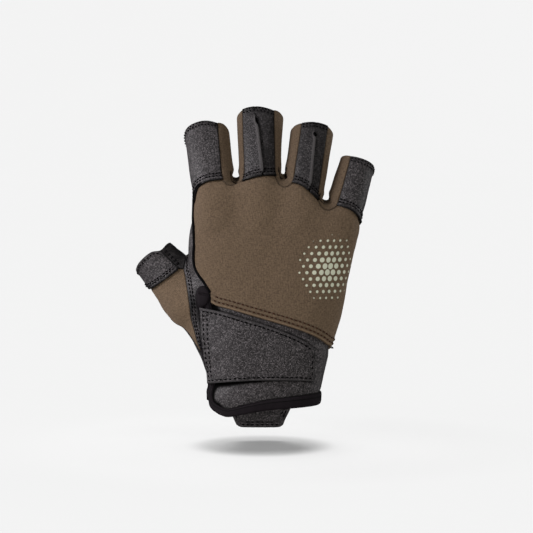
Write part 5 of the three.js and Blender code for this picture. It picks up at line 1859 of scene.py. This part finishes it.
class GLOVE_OT_thumb(GloveOperator, bpy.types.Operator):
    """Thumb: jersey back, leather band round its end, and leather crotch and inner side"""
    bl_idname = "glove.thumb"
    bl_label = "Thumb"

    def execute(self, context):
        foot = dense(band_foot())
        lines = [band_foot(), thumb_rim(BAND_START, BAND_END, 60)]
        panel("thumb_back", thumb_back_patches(), JERSEY_WALL, lift_thumb_back, "brown_jersey", "jersey",
              "thumb_back", uv=lambda p: thumb_back_chart.locate(p) * THUMB_CLOTH, laps=[(foot, HEM_LAP)])
        panel("thumb_band", thumb_band_patches(), LEATHER_WALL, lift_band, "pebbled_leather", "leather",
              "thumb_band", rows=lambda p: rows_near(p, lines, *BAND_ROWS), laps=[(foot, 0.8)])
        panel("thumb_palm", thumb_palm_patches(), LEATHER_WALL, lift_thumb_palm, "plain_leather",
              "smooth_leather", "thumb_palm")
        return {"FINISHED"}


class GLOVE_OT_cuff(GloveOperator, bpy.types.Operator):
    """Leather cuff on the back of the wrist"""
    bl_idname = "glove.cuff"
    bl_label = "Cuff"

    def execute(self, context):
        under, foot = dense(*strap_lines()), dense(strap_lines()[0])

        def shade(p):
            """Dark in the hollow along the strap's edges, as a wedge that narrows to the right below its
            foot, along the binding as a bell, and in the corner of the slit, wider above the wrist."""
            wedge = 3.2 * np.clip((6 - p[:, 0]) / 26, 0, 1)
            hollow = within(near(p, foot), wedge, 0.5)
            width = 2.0 + 2.2 * np.clip((p[:, 2] + 2) / 8, 0, 1)
            corner = within(near(p, binding_edge()), width, 0.5) * within(p[:, 0], -24, 1.5)
            line = 0.35 * bell(near(p, binding_edge()), 1.0)
            beside = 0.7 * within(near(p, under), 1.0, 0.3)
            return np.clip(beside + hollow + corner + line, 0, 1)

        panel("cuff_back", cuff_patches(), LEATHER_WALL, lift_cuff, "pebbled_leather", "leather", "cuff_back",
              laps=[(binding_edge(), BINDING_TUCK), (dense(back_bottom()), HEM_TUCK)], marks={"shade": shade})
        return {"FINISHED"}


class GLOVE_OT_binding(GloveOperator, bpy.types.Operator):
    """Folded tape round the wrist edge and the slit"""
    bl_idname = "glove.binding"
    bl_label = "Binding"

    def execute(self, context):
        """The section is a rounded box: sides and top follow powers of the sine and cosine of one turn. It
        stands proud by a smooth step of the height, flush under the strap."""
        at, out, side, width = binding_frames()
        sides = 24
        turn = 2 * np.pi * np.arange(sides) / sides
        a = np.sign(np.cos(turn)) * np.abs(np.cos(turn)) ** 0.55
        b = np.sign(np.sin(turn)) * np.abs(np.sin(turn)) ** 0.7
        z = at[:, 2]
        proud = BINDING_PROUD * (1 - within(np.abs(z - 28.5), 25, 1.0)) + 0.06 * np.sin(z * 0.9 + at[:, 0])
        points = (at[:, None] + side[:, None] * (a[None, :] * width[:, None] / 2)[..., None]
                  + out[:, None] * (proud[:, None] + (b[None, :] - 1) * BINDING_DEPTH / 2)[..., None])
        along = measure(np.concatenate([at, at[:1]]))
        faces = ring_faces(len(at), sides)
        ring, spoke = faces // sides, faces % sides
        ring[-sides:][ring[-sides:] == 0] = len(at)
        uv = stack(a[spoke] * width[ring % len(at)] / 2, along[ring])
        obj = mesh_object("folded_binding", points.reshape(-1, 3), faces, uv=uv.reshape(-1, 2))
        declared(obj, "binding_tape", "binding", "cuff_binding")
        self.fold()
        return {"FINISHED"}

    def fold(self):
        """The fold of the tape over the end of the slit: a ball flattened on the form, whose height follows
        the cosine of the turn from its top and whose sides follow the sine, with a lap below its crease."""
        spokes, rounds = 72, 31
        turn = 2 * np.pi * np.arange(spokes) / spokes
        down = np.pi * np.arange(rounds, 0, -1)[:, None] / (rounds + 1)
        half, middle = SLIT_FOLD["half"], SLIT_FOLD["middle"]
        x = middle[0] + half[0] * np.sin(down) ** 0.8 * np.cos(turn)
        z = middle[1] + half[1] * np.sin(down) ** 0.8 * np.sin(turn)
        at = on_back(np.stack([x.ravel(), z.ravel()], -1))
        top = np.clip(np.cos(down), 0, 1) ** 0.7
        crease = z - SLIT_FOLD["crease"] - SLIT_FOLD["rise"] * (x - middle[0])
        inner = within(middle[0] - x, 1.8, 0.4)
        lap = 0.7 * within(crease, 0.0, 0.2) - 1.2 * bell(crease - 0.4, 0.45)
        height = np.cos(down) * 1.2 + 0.5 + top * inner * lap - 0.5 * bell(top - 0.45, 0.12)
        rings = (at + normal_at(at) * height.reshape(-1, 1)).reshape(rounds, spokes, 3)
        points, faces = capped(rings, rings[0].mean(0), rings[-1].mean(0))
        uv = np.column_stack([0 * points[:, 2], points[:, 2]])
        declared(mesh_object("slit_fold", points, faces, uv=uv), "binding_tape", "binding")


class GLOVE_OT_strap(GloveOperator, bpy.types.Operator):
    """Wrist strap over the slit and the cuff"""
    bl_idname = "glove.strap"
    bl_label = "Wrist strap"

    def execute(self, context):
        grid = strap_patches()
        lines = [grid[0][0], grid[0][-1], grid[0][:, -1]]
        panel("wrist_strap", grid, STRAP_WALL, lift_strap, "pebbled_leather", "leather", "wrist_strap",
              rows=lambda p: rows_near(p, lines, STRAP_ROW), bulge=0.55,
              # Painted highlight along the strap's edges.
              marks={"worn": lambda p: bell(near(p, dense(*strap_lines())), 0.5)})
        return {"FINISHED"}


class GLOVE_OT_tab(GloveOperator, bpy.types.Operator):
    """Pull tab below the wrist edge"""
    bl_idname = "glove.tab"
    bl_label = "Pull tab"

    def execute(self, context):
        grid = tab_patches()
        lines = [grid[0][0], grid[0][:, 0], grid[0][:, -1]]
        # Painted highlight along the tab's edges.
        marks = {"inside": lambda p: 0 * p[:, 0], "worn": lambda p: 0.5 * bell(near(p, dense(*lines)), 0.6)}
        panel("pull_tab", grid, LEATHER_WALL, lift_tab, "pebbled_leather", "leather", "pull_tab",
              rows=lambda p: rows_near(p, lines, *TAB_ROWS), bulge=0.5, marks=marks)
        return {"FINISHED"}


class GLOVE_OT_stitching(GloveOperator, bpy.types.Operator):
    """Rows of stitches on the leather and on the jersey hem, the cord in the left seam and a thread end"""
    bl_idname = "glove.stitching"
    bl_label = "Stitching"

    def execute(self, context):
        sewn("leather_stitches", [*self.finger_rows(), *self.thumb_rows(), *self.strap_rows(),
                                  *self.tab_rows()], "black_thread")
        sewn("hem_stitches", [stitches(back_bottom(), inset, back_point(5.0, 90.0), lift_back, 0.5, 5.0)
                              for inset in HEM_ROWS], "hem_thread")
        piping = resample(joined(*back_left(), hem("index")[0][:PIPING_TOP]), 110)
        cord("seam_piping", settle(piping), 0.8, lift=0.3)
        tail = settle(through([*on_back([(39.6, 29.0)]), side_point(28.6), side_point(27.2)], [10])[0])
        tail = tail + shares(10)[:, None] ** 2 * [2.2, 0, 0.4]
        cord("thread_end", tail, 0.3, lift=1.0, sides=6)
        return {"FINISHED"}

    def finger_rows(self):
        """Along the rim and the hem of each finger."""
        for name, tube in fingers.items():
            for inset in RIM_ROWS:
                yield stitches(rim_line(name), inset, tube.axis(0), lift_palm, close=FINGER_CLOSE)
            for inset in LEATHER_HEM_ROWS:
                yield stitches(joined(*hem(name)), inset, tube.axis(tube.length), lift_palm,
                               close=FINGER_CLOSE)

    def thumb_rows(self):
        """Along the side strip, the foot and the end of the band, and the rim of the thumb."""
        for inset in SEAM_ROWS:
            yield stitches(joined(*thumb_seam()), inset, back_point(-36.0, 45.0), lift_palm, close=SEAM_CLOSE)
        middle, crotch = thumb_tip.axis(thumb_tip.length * 0.85), back_point(-50.0, 80.0)
        for inset in BAND_ROWS:
            yield stitches(band_foot(), inset, middle, lift_band, end=inset, close=THUMB_CLOSE)
            yield stitches(band_right(), inset, crotch, lift_thumb_palm, 1.0, 1.5, close=THUMB_CLOSE)
        yield stitches(thumb_rim(BAND_START, BAND_END, 60), 1.6, middle, lift_band, end=1.5,
                       close=THUMB_CLOSE)

    def strap_rows(self):
        """One row along the edges and the free end of the strap, and two at the slit."""
        strap = strap_patches()[0]
        middle = strap[STEPS["strap_rows"] // 2, STEPS["strap"] // 2]
        for line in (strap[0], strap[-1]):
            yield stitches(line, STRAP_ROW, middle, lift_strap, 1.5, STRAP_ROW)
        for line, insets in ((strap[:, -1], (STRAP_ROW,)), (strap[:, 0], STRAP_END_ROWS)):
            for inset in insets:
                yield stitches(line, inset, middle, lift_strap, 3.2, 3.2)

    def tab_rows(self):
        """Along the foot and both sides of the tab, on both of its faces."""
        tab = tab_patches()[0]
        middle = tab[STEPS["tab_rows"] // 2, STEPS["tab"] // 2]
        for inset in TAB_ROWS:
            for line, start, end in ((tab[0], inset, inset), (tab[:, 0], inset + 2, 0),
                                     (tab[:, -1], inset + 2, 0)):
                yield stitches(line, inset, middle, lift_tab, start, end)
                yield stitches(line, inset, middle, lambda p: lift_tab(p) - LEATHER_WALL, start, end, -1)


class GLOVE_OT_stage(GloveOperator, bpy.types.Operator):
    """Pale floor and backdrop, soft lights and the camera"""
    bl_idname = "glove.stage"
    bl_label = "Stage"

    def execute(self, context):
        scene = context.scene
        settings = scene.glove_stage
        self.lights(scene, settings, self.floor(settings))
        camera = bpy.data.objects.new("camera", bpy.data.cameras.new("camera"))
        camera.data.lens, camera.data.sensor_width, camera.data.clip_end = VIEW_LENS, VIEW_SENSOR, 100.0
        camera.location = CAMERA * MM
        camera.rotation_euler = (np.pi / 2 - VIEW_RISE, 0, 0)
        scene.collection.objects.link(camera)
        scene.camera = camera
        return {"FINISHED"}

    def floor(self, settings):
        """A round floor that sweeps up all round into a backdrop: flat, a quarter turn, and upright, as one
        profile turned about the upright axis. Under the glove the paper tips a little towards the camera, by
        the depth times a bell of the distance. Its own glow makes up on the sweep, by the slope there, for
        the lamp that only the floor gets, and round the shadow of the wrist for what the wide hand above
        keeps off: by a bell of the distance, less a narrower one with steep sides."""
        level, depth, radius = settings.level / MM, PAPER["depth"], PAPER["sweep"]
        turn = np.pi / 2 * shares(PAPER["sweep_steps"])
        round_ = 2 * np.pi * np.arange(PAPER["spokes"]) / PAPER["spokes"]
        near_glove = np.linspace(0.01, 4 * PAPER["tip"], PAPER["flat_steps"])
        out = np.concatenate([near_glove, depth + radius * np.sin(turn), [depth + radius]])
        sweep = level + radius - radius * np.cos(turn)
        up = np.concatenate([0 * near_glove + level, sweep, [PAPER["height"]]])
        x, y = out[:, None] * np.cos(round_), out[:, None] * np.sin(round_)
        points = stack(x, y, up[:, None] + np.tan(settings.tip) * y * bell(out, PAPER["tip"])[:, None])
        faces = ring_faces(len(out), PAPER["spokes"], closed=False)[:, ::-1]
        obj = mesh_object("studio", points.reshape(-1, 3), faces)
        s = Shader("studio_paper")
        place = s.place()
        paper = s.noise(place, 80.0).rise(0.0, 1.0)
        x, y, z = s.parts(place)
        far = (x * x + y * y).rise(0.8e6, 1.2e6)  # squares of 0.9 and 1.1 metres
        slope = ((z - level) / radius).held() * far
        base, full = np.array(settings.colour), np.array(settings.tone)
        lamp = settings.floor_lamp / np.pi
        flat = full - base * (settings.air + lamp)
        upright = full - base * settings.air
        wide, core = (((x / across) ** 2.0 + ((y - back) / along) ** 2.0)
                      for across, along, back in (GLOW_REACH, GLOW_CORE))
        around = (-wide).power_of_e() - (-core ** 4.0).power_of_e()
        glow = s.mix(slope, rgba(flat), rgba(upright))
        obj.data.materials.append(s.surface(
            Base_Color=s.mix(paper, scaled(settings.colour, 0.995), rgba(settings.colour)), Roughness=0.9,
            Specular_IOR_Level=0.0, Emission_Strength=1.0,
            Emission_Color=s.mix(around * (settings.glow / (1 - flat[0])), glow, rgba((1, 1, 1)))))
        obj.visible_diffuse = obj.visible_glossy = obj.visible_shadow = False
        return obj

    def lights(self, scene, settings, paper):
        """Even light from all round; a broad lamp overhead on the paper alone, which deepens the soft shadow
        under the glove; and lamps on the glove alone, each turned to face its middle."""
        world = bpy.data.worlds.new("studio_air")
        world.use_nodes = True
        world.node_tree.nodes["Background"].inputs[0].default_value = (1, 1, 1, 1)
        world.node_tree.nodes["Background"].inputs[1].default_value = settings.air
        world.cycles_visibility.glossy = False
        scene.world = world
        for name, state in (("all_but_the_paper", "EXCLUDE"), ("only_the_paper", "INCLUDE")):
            group = bpy.data.collections.new(name)
            group.objects.link(paper)
            group.collection_objects[0].light_linking.link_state = state
        lit = bpy.data.collections["all_but_the_paper"]
        overhead = bpy.data.lights.new("floor_lamp", "SUN")
        overhead.energy, overhead.angle = settings.floor_lamp, FLOOR_LAMP_WIDTH
        lamp = bpy.data.objects.new("floor_lamp", overhead)
        lamp.location, lamp.rotation_euler = (-0.2, 0.0, 2.0), (0.0, -5.5 * DEGREE, 0.0)
        lamp.light_linking.receiver_collection = bpy.data.collections["only_the_paper"]
        scene.collection.objects.link(lamp)
        target = np.array([0.0, 0.0, 0.08])
        for name, (place, size, power, colour) in LAMPS.items():
            light = bpy.data.lights.new(name, "AREA")
            light.shape, light.size, light.color = "DISK", size, colour
            light.energy = getattr(settings, power)
            obj = bpy.data.objects.new(name, light)
            obj.location = place
            way = target - np.array(place)
            tilt = np.arccos(-way[2] / np.linalg.norm(way))
            obj.rotation_euler = (tilt, 0, np.arctan2(way[1], way[0]) - np.pi / 2)
            obj.light_linking.receiver_collection = lit
            obj.visible_glossy = name != "fill"
            scene.collection.objects.link(obj)
        scene.view_settings.view_transform = "Standard"


# Settings and panel

def number_setting(name, description, default, **more):
    """A number, nothing or more."""
    return bpy.props.FloatProperty(name=name, description=description, default=default,
                                   **{"min": 0.0, **more})


def length_setting(name, description, default):
    """A length in metres, given here in millimetres."""
    return number_setting(name, description, default * MM, unit="LENGTH", precision=5, min=-1.0)


def colour_setting(name, description, default):
    """A colour as three shares."""
    return bpy.props.FloatVectorProperty(name=name, description=description, default=default, size=3,
                                         subtype="COLOR", min=0.0, max=1.0)


def power_setting(name, description, default):
    """A lamp's power in watts."""
    return number_setting(name, description, default, unit="POWER")


class GloveLeather(bpy.types.PropertyGroup):
    """Leather and the tape of its edges"""
    grain: length_setting("Grain", "Width of a pebble of the grain", 0.72)
    # The darker tone of the leather; scaled down, it also gives the painted shade in the creases, stitch
    # grooves and seams.
    dark: colour_setting("Dark", "Leather in the hollows", (0.0048, 0.0042, 0.0043))
    light: colour_setting("Light", "Leather on the heights", (0.0105, 0.0094, 0.0096))
    # Colour of the painted highlights on the tops of the pebbles.
    speck: colour_setting("Specks", "Pale specks on the pebbles", (0.145, 0.131, 0.136))
    # Colour of the painted highlight along the leather's edges.
    worn: colour_setting("Worn edge", "Leather where an edge is worn", (0.07, 0.065, 0.066))
    tape: colour_setting("Binding", "Folded tape of the edges", (0.0068, 0.0052, 0.0064))


class GloveJersey(bpy.types.PropertyGroup):
    """Jersey and its print"""
    rib: length_setting("Rib", "Distance between the ribs of the knit", 0.95)
    colour: colour_setting("Colour", "Brown of the jersey", (0.078, 0.0535, 0.0335))
    ink: colour_setting("Print", "Pale print on the back", (0.40, 0.415, 0.32))
    dot_spacing: length_setting("Dot spacing", "Distance between the printed dots", 4.4)


class GloveStitches(bpy.types.PropertyGroup):
    """Stitches and their thread"""
    pitch: length_setting("Pitch", "Distance from stitch to stitch", 2.7)
    length: length_setting("Length", "Length of the thread that shows of a stitch", 1.8)
    thickness: length_setting("Thickness", "Thickness of the thread", 0.75)
    dark: colour_setting("Leather thread", "Thread on the leather", (0.0015, 0.0015, 0.0018))
    brown: colour_setting("Hem thread", "Thread on the jersey hem", (0.030, 0.012, 0.007))


class GloveStage(bpy.types.PropertyGroup):
    """Paper and lamps"""
    level: length_setting("Floor", "Height of the floor under the wrist opening", -32.2)
    tip: number_setting("Tip", "How far the paper tips towards the camera under the glove", 7.5 * DEGREE,
                        unit="ROTATION")
    colour: colour_setting("Paper", "Colour of floor and backdrop", (0.135, 0.135, 0.135))
    tone: colour_setting("Tone", "How bright floor and backdrop look", (0.904, 0.904, 0.904))
    air: number_setting("Air", "Strength of the light from all round", 0.5)
    floor_lamp: number_setting("Floor lamp", "Light from overhead on the paper alone", 13.6)
    glow: number_setting("Glow", "How much brighter the paper glows round the shadow", 0.26)
    key: power_setting("Key", "Power of the lamp on the left", 6.6)
    top: power_setting("Top", "Power of the lamp overhead", 1.0)
    fill: power_setting("Fill", "Power of the lamp in front on the right", 8.4)
    side: power_setting("Side", "Power of each lamp at the sides, a little behind", 1.1)


OPERATORS = (GLOVE_OT_palm, GLOVE_OT_back, GLOVE_OT_fourchettes, GLOVE_OT_finger_backs, GLOVE_OT_thumb,
             GLOVE_OT_cuff, GLOVE_OT_binding, GLOVE_OT_strap, GLOVE_OT_tab, GLOVE_OT_stitching,
             GLOVE_OT_stage)
GROUPS = {"glove_leather": GloveLeather, "glove_jersey": GloveJersey, "glove_stitches": GloveStitches,
          "glove_stage": GloveStage}


class GLOVE_PT_panel(bpy.types.Panel):
    """Settings of the glove, and a button for each piece"""
    bl_idname = "GLOVE_PT_panel"
    bl_label = "Glove"
    bl_space_type = "VIEW_3D"
    bl_region_type = "UI"
    bl_category = "Glove"

    def draw(self, context):
        """A box for each group of settings, and the buttons."""
        for key in GROUPS:
            box = self.layout.box()
            group = getattr(context.scene, key)
            for name in group.bl_rna.properties.keys()[1:]:
                box.prop(group, name)
        for operator in OPERATORS:
            self.layout.operator(operator.bl_idname)


def register():
    """Registers the classes and hangs the settings on the scene."""
    for cls in (*GROUPS.values(), *OPERATORS, GLOVE_PT_panel):
        bpy.utils.register_class(cls)
    for key, cls in GROUPS.items():
        setattr(bpy.types.Scene, key, bpy.props.PointerProperty(type=cls))


def unregister():
    """Undoes what register does, in the other order."""
    for key in GROUPS:
        delattr(bpy.types.Scene, key)
    for cls in reversed((*GROUPS.values(), *OPERATORS, GLOVE_PT_panel)):
        bpy.utils.unregister_class(cls)


def main():
    """Makes every piece and the stage."""
    register()
    for operator in OPERATORS:
        group, name = operator.bl_idname.split(".")
        getattr(getattr(bpy.ops, group), name)()


if __name__ == "__main__":
    main()
